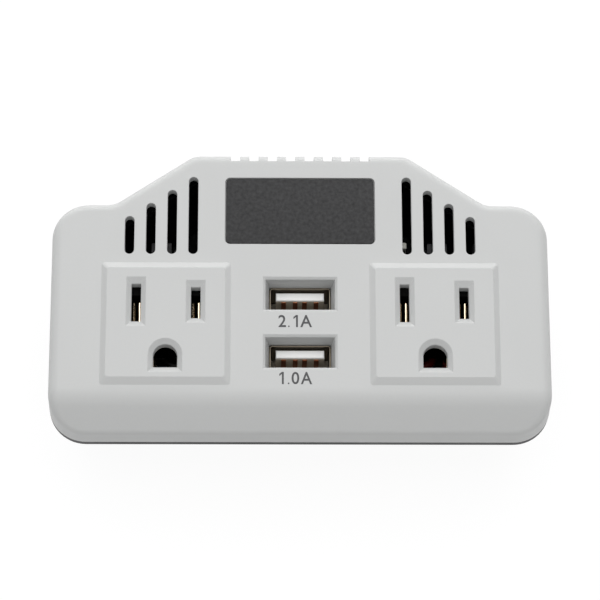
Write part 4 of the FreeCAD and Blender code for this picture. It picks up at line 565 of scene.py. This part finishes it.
class INVERTER_OT_usb_ports(bpy.types.Operator):
    """Folded metal shells, white tongues and pins with their plating, for both USB ports; the shells'
    dark plating, the dark pins and the grey pin carrier are painted shade
    """
    bl_idname = "inverter.usb_ports"
    bl_label = "USB ports"

    # Height of a port's floor over its foot and the depth of the dish in it.
    FLOOR, DISH = 3.5, 0.3

    # Half the tongue's width, and its two faces from the port's middle.
    TONGUE_HALF, TONGUE_NEAR, TONGUE_FAR = 5.2, 0.28, 2.12

    def execute(self, context):
        settings = context.scene.inverter_ports
        # The shells' plating is a dark brown instead of bright tin: painted shade for the inside of the
        # mouths.
        plated = finish("port_plating_painted_shade", (0.15, 0.13, 0.10), 0.34, metallic=1.0, mottle=0.12,
                        mottle_size=1.5, grain=0.08, grain_size=0.12, stretch=(1.0, 1.0, 0.15))
        white = finish("port_insulator", tuple(settings.tongue_colour), 0.36, mottle=0.02,
                       mottle_size=2.0, grain=0.06, grain_size=0.3)
        # Grey instead of the tongue's white: painted shade on the port's floor and on the thin sheet
        # over the tongue's near face.
        shaded_carrier = finish("shaded_pin_carrier", (0.60, 0.54, 0.45), 0.5, mottle=0.1, mottle_size=1.0, grain=0.1,
                         grain_size=0.2, gloss=0.2)
        # The pins' gold is darkened to a deep red-brown: real plating with painted shade for the shaded
        # near face of the tongue.
        shade_dark_gold = finish("port_pins", (0.34, 0.13, 0.065), 0.42, metallic=0.8, mottle=0.15, mottle_size=0.8,
                      grain=0.1, grain_size=0.1)
        sheet = settings.sheet / MM
        for port in ("upper", "lower"):
            self.metal_shell(port, sheet, plated)
            self.tongue(port, white)
            self.shaded_pin_carrier(port, shaded_carrier)
            self.pins(port, shade_dark_gold)
        return {"FINISHED"}

    def tongue(self, port, white):
        """The pale tongue that the plug slides over."""
        node = "usb_insulator_" + port
        low, high = node_box(node)
        middle = (low.y + high.y) / 2
        root = low.z + self.FLOOR - 0.5
        tongue = block("port_tongue_" + port, (-self.TONGUE_HALF, middle + self.TONGUE_NEAR, root),
                       (self.TONGUE_HALF, middle + self.TONGUE_FAR, high.z))
        bevel_edges(tongue, level_at(high.z), 0.28, 4)
        hand_over(tongue, white, (node,))

    def shaded_pin_carrier(self, port, painted_shade_grey):
        """The port's floor and a thin grey sheet on the near face of its tongue, which hold the four
        pins; their grey against the white tongue is painted shade.
        """
        low, high = node_box("usb_insulator_" + port)
        foot = block("foot", low, (high.x, high.y, low.z + self.FLOOR))
        pick(foot, "FACE", faces_up)
        bpy.ops.mesh.inset(thickness=0.35 * MM)
        extrude(0, 0, -self.DISH)
        leave_edit()
        near = (low.y + high.y) / 2 + self.TONGUE_NEAR
        tip = high.z - 0.34
        plate = block("plate", (-self.TONGUE_HALF, near - 0.05, low.z + self.FLOOR - self.DISH),
                      (self.TONGUE_HALF, near + 0.04, tip))
        bevel_edges(plate, level_at(tip), 0.03, 2)
        hand_over(join([foot, plate], "shaded_pin_carrier_" + port), painted_shade_grey)

    def metal_shell(self, port, sheet, plated):
        node = "usb_shell_" + port
        low, high = node_box(node)
        shell = block("port_shell_" + port, low, high)
        bevel_edges(shell, upright, 0.6, 5)
        pick(shell, "FACE", lambda face: abs(face.normal.z) > 0.99)
        bpy.ops.mesh.delete(type="FACE")
        leave_edit()
        thicken(shell, sheet, -1.0)
        bevel_edges(shell, level_at(high.z), 0.1, 3)

        # Two spring tongues in each wide side, bent inwards towards the mouth.
        half_x, half_y, root, tip = 0.8, 0.1, high.z - 8.2, high.z - 3.4
        bend, flare, lip = 0.42, 0.4, 1.0
        middle_y = (low.y + high.y) / 2
        springs = []
        for side in (-1, 1):
            for x in (-3.1, 3.1):
                y = middle_y + side * ((high.y - low.y) / 2 - sheet - half_y - 0.01)
                spring = block("spring", (x - half_x, y - half_y, root), (x + half_x, y + half_y, tip))
                pick(spring, "FACE", faces_up)
                bpy.ops.transform.translate(value=(0, -side * bend * MM, 0))
                extrude(0, side * flare, lip)
                leave_edit()
                bevel_edges(spring, lambda edge: edge.calc_length() > 1.5 * MM, 0.05, 2)
                springs.append(spring)
        hand_over(join([shell] + springs, "port_shell_" + port), plated, (node,))

    def pins(self, port, shade_dark_gold):
        node = "usb_pins_" + port
        low, high = node_box(node)
        width, steps = 1.0, (2.5, 4.5, 7.0)
        first = block("pin", low, (low.x + width, high.y, high.z))
        bevel_edges(first, level_at(high.z), 0.1, 3)
        others = [moved_copy(first, (step, 0, 0)) for step in steps]
        hand_over(join([first] + others, "port_pins_" + port), shade_dark_gold, (node,))


class INVERTER_OT_outlet_contacts(bpy.types.Operator):
    """Rolled brass contacts of both outlets"""
    bl_idname = "inverter.outlet_contacts"
    bl_label = "Outlet contacts"

    # Each rib's two sides from the contact's middle, its slope along the slot and its lean across.
    RIBS = ((0.34, 0.8, 0.9, 0.0), (-0.72, -0.38, 1.1, 0.2))

    def execute(self, context):
        brass = finish("contact_brass", tuple(context.scene.inverter_ports.brass_colour), 0.2,
                       metallic=1.0, mottle=0.12, mottle_size=1.6, rough_spread=0.05, grain=0.05,
                       grain_size=0.12, stretch=(1.0, 0.2, 1.0), soft_edge=0.00008)
        for wire in ("neutral", "hot", "ground"):
            for side in ("left", "right"):
                node = "%s_contact_%s" % (wire, side)
                strip = merged_copy(node, "strip")
                if wire != "ground":
                    strip = join([strip] + [self.rib(node, *rib) for rib in self.RIBS], "strip")
                strip.name = "%s_strip_%s" % (wire, side)
                hand_over(strip, brass, (node,))
        return {"FINISHED"}

    def rib(self, node, left, right, slope, lean):
        """The slanted rib folded along one leaf, where the blade first touches it."""
        low, high = node_box(node)
        inset, height = 0.25, 2.6
        middle, top = (low.x + high.x) / 2, high.z - 0.4
        rib = block("rib", (middle + left, low.y + inset, top - height),
                    (middle + right, high.y - inset, top))
        for drop, test in ((slope, lambda v: v.co.y < (low.y + inset + 0.05) * MM),
                           (lean, lambda v: v.co.x > (middle + right - 0.01) * MM)):
            pick(rib, "VERT", lambda v: v.co.z > (top - 1.5) * MM and test(v))
            bpy.ops.transform.translate(value=(0, 0, -drop * MM))
            leave_edit()
        bevel_edges(rib, lambda edge: edge.calc_length() > 3 * MM, 0.05, 2)
        return rib


class INVERTER_OT_outlet_blocks(bpy.types.Operator):
    """Black contact blocks behind both outlets"""
    bl_idname = "inverter.outlet_blocks"
    bl_label = "Outlet blocks"

    def execute(self, context):
        black = finish("block_plastic", (0.006, 0.006, 0.006), 0.85, mottle=0.15, mottle_size=4.0,
                       grain=0.3, grain_size=0.5, soft_edge=0.0002, gloss=0.0)
        for side in ("left", "right"):
            dress("outlet_block_" + side, "contact_block_" + side, black)
        return {"FINISHED"}


# Fasteners and the cord's inlet

# Radius and height of the heads of the case screws and of the short ones, in millimetres.
CASE_HEAD, CASE_HEAD_HEIGHT = 2.7, 2.0
SHORT_HEAD, SHORT_HEAD_HEIGHT = 1.9, 1.3


def pan_screw(name, radius, head_radius, head_height, length):
    """A pan-head screw with a cross recess, its head's flat side on the origin, point up."""
    head = disc(name, (0, 0, -head_height), head_radius, head_height, 36)
    bevel_edges(head, level_at(-head_height), 0.34 * head_height, 4)
    reach, width = 0.62 * head_radius, 0.17 * head_radius
    depth = 0.62 * head_height
    for half_x, half_y in ((reach, width), (width, reach)):
        cutter = block("recess", (-half_x, -half_y, -head_height - 0.5),
                       (half_x, half_y, depth - head_height))
        pick(cutter, "FACE", faces_up)
        bpy.ops.transform.resize(value=(0.5, 0.5, 1.0), center_override=(0.0, 0.0, 0.0))
        leave_edit()
        cut_away(head, cutter)
    shank = disc("shank", (0, 0, -0.1), radius, length + 0.1, 24)
    pick(shank, "FACE", faces_up)
    extrude(0, 0, 0)
    bpy.ops.transform.resize(value=(0.6, 0.6, 1.0), center_override=(0.0, 0.0, 0.0))
    leave_edit()
    return join([head, shank], name)


def screw_steel(pitch):
    return finish("screw_steel", (0.46, 0.46, 0.46), 0.3, metallic=1.0, mottle=0.1, mottle_size=0.8,
                  rough_spread=0.08, grain=0.15, grain_size=0.1, turns=("Z", pitch, 0.08))


class INVERTER_OT_case_screws(bpy.types.Operator):
    """Four long screws in the base's wells"""
    bl_idname = "inverter.case_screws"
    bl_label = "Case screws"

    def execute(self, context):
        low, high = node_box("case_screws")
        model = pan_screw("case_screw", 1.45, CASE_HEAD, CASE_HEAD_HEIGHT,
                          high.z - low.z - CASE_HEAD_HEIGHT)
        screws = [moved_copy(model, (x, y, low.z + CASE_HEAD_HEIGHT))
                  for x in (low.x + CASE_HEAD, high.x - CASE_HEAD)
                  for y in (low.y + CASE_HEAD, high.y - CASE_HEAD)]
        bpy.data.objects.remove(model)
        hand_over(join(screws, "case_screw_set"), screw_steel(0.9), ("case_screws",))
        return {"FINISHED"}


class INVERTER_OT_small_screws(bpy.types.Operator):
    """Short screws of the boards and the contact blocks"""
    bl_idname = "inverter.small_screws"
    bl_label = "Small screws"

    def execute(self, context):
        steel = screw_steel(0.5)
        head, rise = SHORT_HEAD, SHORT_HEAD_HEIGHT
        model = pan_screw("small_screw", 1.0, head, rise, 5.0)
        turned = moved_copy(model, (0, 0, 0))
        turned.data.transform(Matrix.Rotation(math.pi, 4, "X"))
        blocks_low, blocks_high = node_box("block_screws")
        usb_low, usb_high = node_box("usb_screws")
        low, high = node_box("board_screws")
        sets = (
            ("block_screws", model, [(x, y, blocks_low.z + rise)
                                     for x in (blocks_low.x + head, blocks_high.x - head)
                                     for y in (blocks_low.y + head, blocks_high.y - head)]),
            ("usb_screws", model, [(0, y, usb_low.z + rise)
                                   for y in (usb_low.y + head, usb_high.y - head)]),
            ("board_screws", turned, [(low.x + head, low.y + head, high.z - rise),
                                      (high.x - head, low.y + head, high.z - rise),
                                      (0, high.y - head, high.z - rise)]),
        )
        for node, pattern, places in sets:
            screws = [moved_copy(pattern, place) for place in places]
            hand_over(join(screws, node.replace("screws", "screw_set")), steel, (node,))
        for pattern in (model, turned):
            bpy.data.objects.remove(pattern)
        return {"FINISHED"}


class INVERTER_OT_cord_bush(bpy.types.Operator):
    """Rubber bush of the cord inlet"""
    bl_idname = "inverter.cord_bush"
    bl_label = "Cord bush"

    def execute(self, context):
        rubber = finish("bush_rubber", (0.016, 0.016, 0.016), 0.72, mottle=0.2, mottle_size=1.5,
                        grain=0.4, grain_size=0.25, soft_edge=0.0002)
        dress("cord_bush", "inlet_bush", rubber)
        return {"FINISHED"}


# The fan

class INVERTER_OT_cooling_fan(bpy.types.Operator):
    """Fan frame, stator, rotor and magnet ring"""
    bl_idname = "inverter.cooling_fan"
    bl_label = "Cooling fan"

    def execute(self, context):
        black = finish("fan_plastic", (0.018, 0.018, 0.019), 0.38, mottle=0.1, mottle_size=3.0,
                       grain=0.18, grain_size=0.35, soft_edge=0.00015)
        copper = finish("stator_wire", (0.55, 0.24, 0.09), 0.3, metallic=1.0, turns=("X", 0.3, 0.06))
        magnet = finish("magnet_ring", (0.05, 0.05, 0.055), 0.5, mottle=0.2, mottle_size=0.7)
        dress("fan_frame", "fan_housing", black)
        dress("fan_coil", "fan_stator", copper)
        dress("fan_rotor", "fan_wheel", black, body="fan", smooth=35.0)
        dress("fan_magnet", "fan_ring", magnet, body="fan")
        return {"FINISHED"}


class INVERTER_OT_fan_plug(bpy.types.Operator):
    """White two-way plug of the fan's leads"""
    bl_idname = "inverter.fan_plug"
    bl_label = "Fan plug"

    def execute(self, context):
        low, high = node_box("fan_plug")
        plug = block("fan_connector", low, high)
        bevel_edges(plug, upright, 0.2, 3)
        pick(plug, "FACE", faces_up)
        bpy.ops.mesh.inset(thickness=0.22 * MM)
        extrude(0, 0, -0.12)
        leave_edit()
        white = finish("plug_plastic", (0.95, 0.95, 0.86), 0.35, mottle=0.04, mottle_size=1.0,
                       grain=0.08)
        hand_over(plug, white, ("fan_plug",))
        return {"FINISHED"}


# Boards and what stands on them

class INVERTER_OT_circuit_boards(bpy.types.Operator):
    """Both circuit boards with their small surface parts"""
    bl_idname = "inverter.circuit_boards"
    bl_label = "Circuit boards"

    def execute(self, context):
        mask = board_finish(context.scene.inverter_inside)
        dress("main_board", "power_board", mask)
        dress("usb_board", "port_board", mask)
        chip = finish("chip_moulding", (0.02, 0.02, 0.021), 0.5, mottle=0.1, mottle_size=0.6, grain=0.2,
                      grain_size=0.1)
        low, high = node_box("main_board")
        usb_low, usb_high = node_box("usb_board")
        stand, top, legs = 0.1, 1.1, 4
        leg_half, leg_reach, leg_top = 0.15, 0.45, 0.3
        bodies = []

        # Each chip's middle, the level of its board, and its width and depth.
        for x, y, level, width, depth in (
                (-9.0, low.y + 1.8, high.z, 4.9, 2.0), (9.0, low.y + 1.8, high.z, 4.9, 2.0),
                (-8.4, usb_high.y - 1.6, usb_high.z, 3.0, 1.6),
                (7.8, usb_low.y + 2.2, usb_high.z, 3.0, 2.6)):
            body = block("chip", (x - width / 2, y - depth / 2, level + stand),
                         (x + width / 2, y + depth / 2, level + top))
            bevel_edges(body, level_at(level + top), 0.18, 2)
            bodies.append(body)
            for step in range(legs):
                leg_x = x - width / 2 + width * (step + 0.5) / legs
                leg = block("leg", (leg_x - leg_half, y - depth / 2 - leg_reach, level),
                            (leg_x + leg_half, y - depth / 2, level + leg_top))
                bevel_edges(leg, level_at(level + leg_top), 0.06, 2)
                bodies.append(leg)
        hand_over(join(bodies, "surface_chips"), chip)
        return {"FINISHED"}


def wire_loop(name, width, height, corner, wire):
    """One closed turn of wire round a rounded rectangle in the XZ plane, about the origin."""
    loop = primitive(name, bpy.ops.mesh.primitive_plane_add, size=1)
    loop.scale = (width * MM, height * MM, 1.0)
    apply_place(loop)
    pick(loop, "VERT", lambda vertex: True)
    bpy.ops.mesh.bevel(offset=corner * MM, segments=4, affect="VERTICES")
    bpy.ops.mesh.select_all(action="SELECT")
    bpy.ops.mesh.delete(type="ONLY_FACE")
    leave_edit()
    bpy.ops.object.convert(target="CURVE")
    loop.data.bevel_depth = wire * MM / 2
    loop.data.bevel_resolution = 1
    bpy.ops.object.convert(target="MESH")
    loop = bpy.context.object
    loop.data.transform(Matrix.Rotation(math.pi / 2, 4, "X"))
    return loop


def enamelled_wire(name):
    """Varnished copper, the same on both windings."""
    return finish(name, (0.55, 0.22, 0.08), 0.3, metallic=0.9, mottle=0.12, mottle_size=1.2,
                  grain=0.1, grain_size=0.2)


class INVERTER_OT_transformer(bpy.types.Operator):
    """Ferrite core, bobbin and the turns wound on it"""
    bl_idname = "inverter.transformer"
    bl_label = "Transformer"

    def execute(self, context):
        ferrite = finish("core_ferrite", (0.035, 0.035, 0.038), 0.6, mottle=0.2, mottle_size=0.8,
                         grain=0.5, grain_size=0.3, soft_edge=0.0002)
        bobbin = finish("bobbin_plastic", (0.02, 0.02, 0.02), 0.4, mottle=0.1, grain=0.15)
        dress("transformer_core", "core_pair", ferrite)
        dress("transformer_bobbin", "coil_former", bobbin)
        low, high = node_box("transformer_winding")
        wire = context.scene.inverter_inside.wire / MM
        turns = int((high.y - low.y) / wire)
        pitch = (high.y - low.y - wire) / (turns - 1)
        first = wire_loop("turn", high.x - low.x - wire, high.z - low.z - wire, 1.6, wire)
        loops = [moved_copy(first, ((low.x + high.x) / 2, low.y + wire / 2 + number * pitch,
                                    (low.z + high.z) / 2)) for number in range(turns)]
        bpy.data.objects.remove(first)
        inner = block("layer", (low.x + wire / 2, low.y + 0.1, low.z + wire / 2),
                      (high.x - wire / 2, high.y - 0.1, high.z - wire / 2))
        bevel_edges(inner, lambda edge: abs((edge.verts[1].co - edge.verts[0].co).y) > 5 * MM, 1.4, 4)
        hand_over(join(loops + [inner], "coil_turns"), enamelled_wire("coil_wire"),
                  ("transformer_winding",), smooth=60.0)
        return {"FINISHED"}


class INVERTER_OT_choke(bpy.types.Operator):
    """Ring choke with its turns"""
    bl_idname = "inverter.choke"
    bl_label = "Choke"

    def execute(self, context):
        settings = context.scene.inverter_inside
        powder = finish("choke_core", (0.28, 0.24, 0.06), 0.55, mottle=0.1, mottle_size=0.8, grain=0.3)
        dress("choke_core", "choke_ring", powder)
        core_low, core_high = node_box("choke_core")
        low, high = node_box("choke_winding")
        wire = settings.wire / MM
        centre = (core_low + core_high) / 2
        outer = (core_high.x - core_low.x) / 2
        inner, slack = 1.8, 0.2
        start, sweep = 8, 285
        first = wire_loop("turn", outer - inner + slack + wire, high.z - low.z - wire, 0.5, wire)
        first.data.transform(Matrix.Translation(Vector(((outer + inner) / 2, 0, 0)) * MM))
        loops = []
        for number in range(settings.choke_turns):
            turn = moved_copy(first, (0, 0, 0))
            angle = math.radians(start + sweep * number / settings.choke_turns)
            turn.data.transform(Matrix.Translation(centre * MM) @ Matrix.Rotation(angle, 4, "Z"))
            loops.append(turn)
        bpy.data.objects.remove(first)
        hand_over(join(loops, "choke_turns"), enamelled_wire("choke_wire"), ("choke_winding",),
                  smooth=60.0)
        return {"FINISHED"}


def sleeve_finish(middle_y, middle_z):
    """Dark shrink sleeve with the pale band that marks the negative side of both cans."""
    material, tree, shader = new_finish("can_sleeve")
    place = object_place(tree)
    parts = add_node(tree, "SeparateXYZ", {"Vector": place})
    rise, half_width = 1.6, 1.3
    band = work_out(tree, "COMPARE", parts.outputs["Z"], (middle_z + rise) * MM, half_width * MM)
    side = work_out(tree, "GREATER_THAN", parts.outputs["Y"], middle_y * MM)
    marked = work_out(tree, "MULTIPLY", band, side)
    connect(tree, shader, {
        "Base Color": blend_colours(tree, marked, (0.012, 0.02, 0.075, 1.0), (0.42, 0.44, 0.47, 1.0)),
        "Roughness": spread(tree, noise(tree, place, 3.0), 0.28, 0.4),
        "Normal": bump(tree, noise(tree, place, 0.5, 2.0), 0.1, 0.02),
    })
    return material


class INVERTER_OT_capacitors(bpy.types.Operator):
    """Sleeved electrolytic capacitors with vented ends, and the yellow film capacitor"""
    bl_idname = "inverter.capacitors"
    bl_label = "Capacitors"

    def execute(self, context):
        low, high = node_box("input_capacitor")
        sleeve = sleeve_finish((low.y + high.y) / 2, (low.z + high.z) / 2)
        metal = finish("can_metal", (0.62, 0.62, 0.60), 0.32, metallic=1.0, mottle=0.08, mottle_size=1.5,
                       grain=0.15, grain_size=0.2)
        yellow = finish("film_case", (0.62, 0.40, 0.03), 0.3, mottle=0.06, mottle_size=2.0, grain=0.1,
                        soft_edge=0.0002)
        dress("input_capacitor", "input_can", sleeve)
        dress("output_capacitor", "output_can", sleeve)
        dress("film_capacitor", "film_block", yellow)
        ends = [self.vented_end("input_capacitor", -1), self.vented_end("output_capacitor", 1)]
        hand_over(join(ends, "can_ends"), metal)
        return {"FINISHED"}

    def vented_end(self, node, way):
        """The bare metal end of a lying can, with the cross pressed into it as a vent."""
        low, high = node_box(node)
        radius, proud, sheet = (high.y - low.y) / 2 - 0.8, 0.1, 0.35
        reach, groove = 0.75 * radius, 0.13
        end = disc("can_end", (0, 0, proud - sheet), radius, sheet, 48)
        bevel_edges(end, level_at(proud), 0.08, 2)
        for half_x, half_y in ((reach, groove), (groove, reach)):
            cut_away(end, block("vent", (-half_x, -half_y, -0.05), (half_x, half_y, 1.0)))
        centre = Vector((high.x if way > 0 else low.x, (low.y + high.y) / 2, (low.z + high.z) / 2))
        end.data.transform(Matrix.Translation(centre * MM) @ Matrix.Rotation(way * math.pi / 2, 4, "Y"))
        return end


class INVERTER_OT_fuse(bpy.types.Operator):
    """Fuse, its clips and the battery posts"""
    bl_idname = "inverter.fuse"
    bl_label = "Fuse and posts"

    def execute(self, context):
        tinned = finish("tinned_strip", (0.55, 0.55, 0.53), 0.28, metallic=1.0, mottle=0.1, grain=0.15)
        ceramic = finish("fuse_ceramic", (0.62, 0.59, 0.53), 0.5, mottle=0.05, grain=0.2, grain_size=0.2)
        brass = finish("post_brass", (0.72, 0.55, 0.28), 0.3, metallic=1.0, mottle=0.1, grain=0.1)
        self.fuse(ceramic, tinned)
        dress("fuse_clips", "fuse_springs", tinned)
        dress("battery_terminals", "battery_posts", brass)
        return {"FINISHED"}

    def fuse(self, ceramic, tinned):
        """A lying ceramic tube between two pressed caps."""
        low, high = node_box("fuse")
        half, radius = (high.x - low.x) / 2, (high.z - low.z) / 2
        cap, overlap, wall = 5.0, 0.4, 0.15
        middle = Matrix.Translation((low + high) / 2 * MM)
        caps = []
        for way in (-1, 1):
            end = disc("fuse_cap", (0, 0, half - cap), radius, cap)
            bevel_edges(end, lambda edge: level_at(half)(edge) or level_at(half - cap)(edge), 0.35, 3)
            end.data.transform(middle @ Matrix.Rotation(way * math.pi / 2, 4, "Y"))
            caps.append(end)
        hand_over(join(caps, "fuse_caps"), tinned)
        tube = disc("fuse_tube", (0, 0, cap - half - overlap), radius - wall,
                    2 * (half - cap + overlap))
        bevel_edges(tube, lambda edge: not upright(edge), 0.1, 2)
        tube.data.transform(middle @ Matrix.Rotation(math.pi / 2, 4, "Y"))
        hand_over(tube, ceramic, ("fuse",))


class INVERTER_OT_power_stage(bpy.types.Operator):
    """Heat sinks, power transistors and the USB board's inductor"""
    bl_idname = "inverter.power_stage"
    bl_label = "Power stage"

    def execute(self, context):
        extruded = finish("sink_anodised", (0.022, 0.022, 0.024), 0.45, metallic=0.3, mottle=0.15,
                          mottle_size=1.0, grain=0.25, grain_size=0.2, stretch=(1.0, 1.0, 0.08))
        moulded = finish("transistor_moulding", (0.02, 0.02, 0.021), 0.48, mottle=0.1, grain=0.2,
                         grain_size=0.15, soft_edge=0.0001)
        ferrite = finish("inductor_ferrite", (0.04, 0.04, 0.043), 0.55, mottle=0.2, mottle_size=0.6)
        for side in ("left", "right"):
            dress("heatsink_" + side, "cooling_fins_" + side, extruded)
            dress("transistors_" + side, "power_switches_" + side, moulded)
        dress("usb_inductor", "port_inductor", ferrite)
        return {"FINISHED"}


class INVERTER_OT_outlet_leads(bpy.types.Operator):
    """Insulated leads from the main board to the outlets"""
    bl_idname = "inverter.outlet_leads"
    bl_label = "Outlet leads"

    def execute(self, context):
        for wire, slot, colour in (("hot", "red_vinyl", (0.42, 0.012, 0.01)),
                                   ("neutral", "black_vinyl", (0.01, 0.01, 0.01)),
                                   ("ground", "green_vinyl", (0.01, 0.16, 0.03))):
            vinyl = finish(wire + "_vinyl", colour, 0.38, mottle=0.08, mottle_size=2.0, grain=0.12,
                           grain_size=0.4)
            dress(wire + "_leads", wire + "_wiring", vinyl, smooth=60.0)
        return {"FINISHED"}


# The studio

class INVERTER_OT_studio(bpy.types.Operator):
    """White floor, soft lamps and the camera above the near wall"""
    bl_idname = "inverter.studio"
    bl_label = "Studio"

    def execute(self, context):
        settings = context.scene.inverter_studio
        self.floor()
        self.surroundings(context.scene, settings)
        self.lamp("overhead_lamp", (0.0, 0.2, 1.25), 1.0, 1.0, settings.overhead_power)
        self.lamp("strip_lamp", (0.0, 0.95, 0.16), 1.3, 0.26, settings.strip_power)
        self.camera(context.scene)
        context.scene.view_settings.view_transform = "Standard"
        return {"FINISHED"}

    def seen_directly(self, tree):
        """1 for rays of the camera, of gloss and through glass."""
        path = add_node(tree, "LightPath")
        total = path.outputs["Is Camera Ray"]
        for way in ("Is Glossy Ray", "Is Transmission Ray"):
            total = work_out(tree, "MAXIMUM", total, path.outputs[way])
        return total

    def floor(self):
        floor = primitive("studio_floor", bpy.ops.mesh.primitive_plane_add, size=8.0,
                          location=(0.0, 0.0, -0.0002))
        material, tree, shader = new_finish("floor_paper")
        connect(tree, shader, {"Base Color": (0.92, 0.92, 0.92, 1.0), "Roughness": 1.0,
                               "Specular IOR Level": 0.0})
        glow = add_node(tree, "Emission", {"Strength": 1.04})

        # The share left to the paper's own shading keeps the shadow.
        share = work_out(tree, "MULTIPLY", self.seen_directly(tree), 0.9)
        mix = add_node(tree, "MixShader", {"Fac": share, 1: shader.outputs["BSDF"],
                                           2: glow.outputs["Emission"]})
        output = [node for node in tree.nodes if node.type == "OUTPUT_MATERIAL"][0]
        connect(tree, output, {"Surface": mix.outputs["Shader"]})
        floor.data.materials.append(material)

    def surroundings(self, scene, settings):
        """A white sky to the camera, and for matt surfaces a ring of light over a dim one."""
        world = bpy.data.worlds.new("studio_light")
        scene.world = world
        world.use_nodes = True
        tree = world.node_tree
        tree.nodes.clear()
        place = add_node(tree, "TexCoord").outputs["Generated"]
        way = add_node(tree, "SeparateXYZ", {"Vector": place})

        # The ring of light rises between the first two heights and fades between the last two.
        band = None
        for low, high, start, end in ((0.40, 0.55, 0.0, settings.ring), (0.76, 0.90, 1.0, 0.0)):
            share = map_range(tree, way.outputs["Z"], low, high, start, end,
                              interpolation_type="SMOOTHSTEP")
            band = work_out(tree, "MULTIPLY_ADD", band, share, settings.ambient) if band else share
        colour = (1.0, 1.0, 1.0, 1.0)
        soft = add_node(tree, "Background", {"Color": colour, "Strength": band})
        white = add_node(tree, "Background", {"Color": colour})
        mix = add_node(tree, "MixShader", {"Fac": self.seen_directly(tree),
                                           1: soft.outputs["Background"],
                                           2: white.outputs["Background"]})
        add_node(tree, "OutputWorld", {"Surface": mix.outputs["Shader"]})

    def lamp(self, name, place, width, height, power):
        """A rectangular lamp that faces the middle of the case."""
        light = bpy.data.lights.new(name, "AREA")
        light.shape = "RECTANGLE"
        light.size, light.size_y = width, height
        light.energy = power
        lamp = bpy.data.objects.new(name, light)
        lamp.location = place
        way = Vector((0.0, 0.0, 0.03)) - Vector(place)
        lamp.rotation_euler = way.to_track_quat("-Z", "Y").to_euler()
        bpy.context.scene.collection.objects.link(lamp)

    def camera(self, scene):
        """The photograph's camera: almost above the face, from the near side."""
        place, aim = Vector((-7.438, -205.69, 611.217)) * MM, Vector((-0.06, -3.17, 40.0)) * MM
        back = (place - aim).normalized()
        right = Vector((0.0, 1.0, 0.0)).cross(back).normalized()
        up = back.cross(right)
        roll = Matrix.Rotation(math.radians(-0.098), 4, "Z")
        turn = Matrix((right, up, back)).transposed().to_4x4() @ roll
        camera = bpy.data.objects.new("studio_camera", bpy.data.cameras.new("studio_camera"))
        camera.data.lens = 170.9
        camera.data.sensor_width = 36.0
        camera.data.clip_start = 0.01
        camera.matrix_world = Matrix.Translation(place) @ turn
        scene.collection.objects.link(camera)
        scene.camera = camera


OPERATORS = (
    INVERTER_OT_front_case, INVERTER_OT_rear_case, INVERTER_OT_name_plate, INVERTER_OT_port_ratings,
    INVERTER_OT_usb_ports, INVERTER_OT_outlet_contacts, INVERTER_OT_outlet_blocks,
    INVERTER_OT_case_screws, INVERTER_OT_small_screws, INVERTER_OT_cord_bush, INVERTER_OT_cooling_fan,
    INVERTER_OT_fan_plug, INVERTER_OT_circuit_boards, INVERTER_OT_transformer, INVERTER_OT_choke,
    INVERTER_OT_capacitors, INVERTER_OT_fuse, INVERTER_OT_power_stage, INVERTER_OT_outlet_leads,
    INVERTER_OT_studio,
)
SETTINGS = (
    ("inverter_case", CaseSettings), ("inverter_ports", PortSettings),
    ("inverter_inside", InsideSettings), ("inverter_studio", StudioSettings),
)


class INVERTER_PT_pieces(bpy.types.Panel):
    """Every step of the finished inverter, in order"""
    bl_idname = "INVERTER_PT_pieces"
    bl_label = "Power Inverter"
    bl_space_type = "VIEW_3D"
    bl_region_type = "UI"
    bl_category = "Inverter"

    def draw(self, context):
        for setting, group in SETTINGS:
            box = self.layout.box()
            for name in group.__annotations__:
                box.prop(getattr(context.scene, setting), name)
        for operator in OPERATORS:
            self.layout.operator(operator.bl_idname)


def register():
    for setting, group in SETTINGS:
        bpy.utils.register_class(group)
        setattr(bpy.types.Scene, setting, PointerProperty(type=group))
    for made in OPERATORS + (INVERTER_PT_pieces,):
        bpy.utils.register_class(made)


def unregister():
    for made in reversed(OPERATORS + (INVERTER_PT_pieces,)):
        bpy.utils.unregister_class(made)
    for setting, group in reversed(SETTINGS):
        delattr(bpy.types.Scene, setting)
        bpy.utils.unregister_class(group)


def main():
    register()
    for operator in OPERATORS:
        group, name = operator.bl_idname.split(".")
        getattr(getattr(bpy.ops, group), name)()


if __name__ == "__main__":
    main()
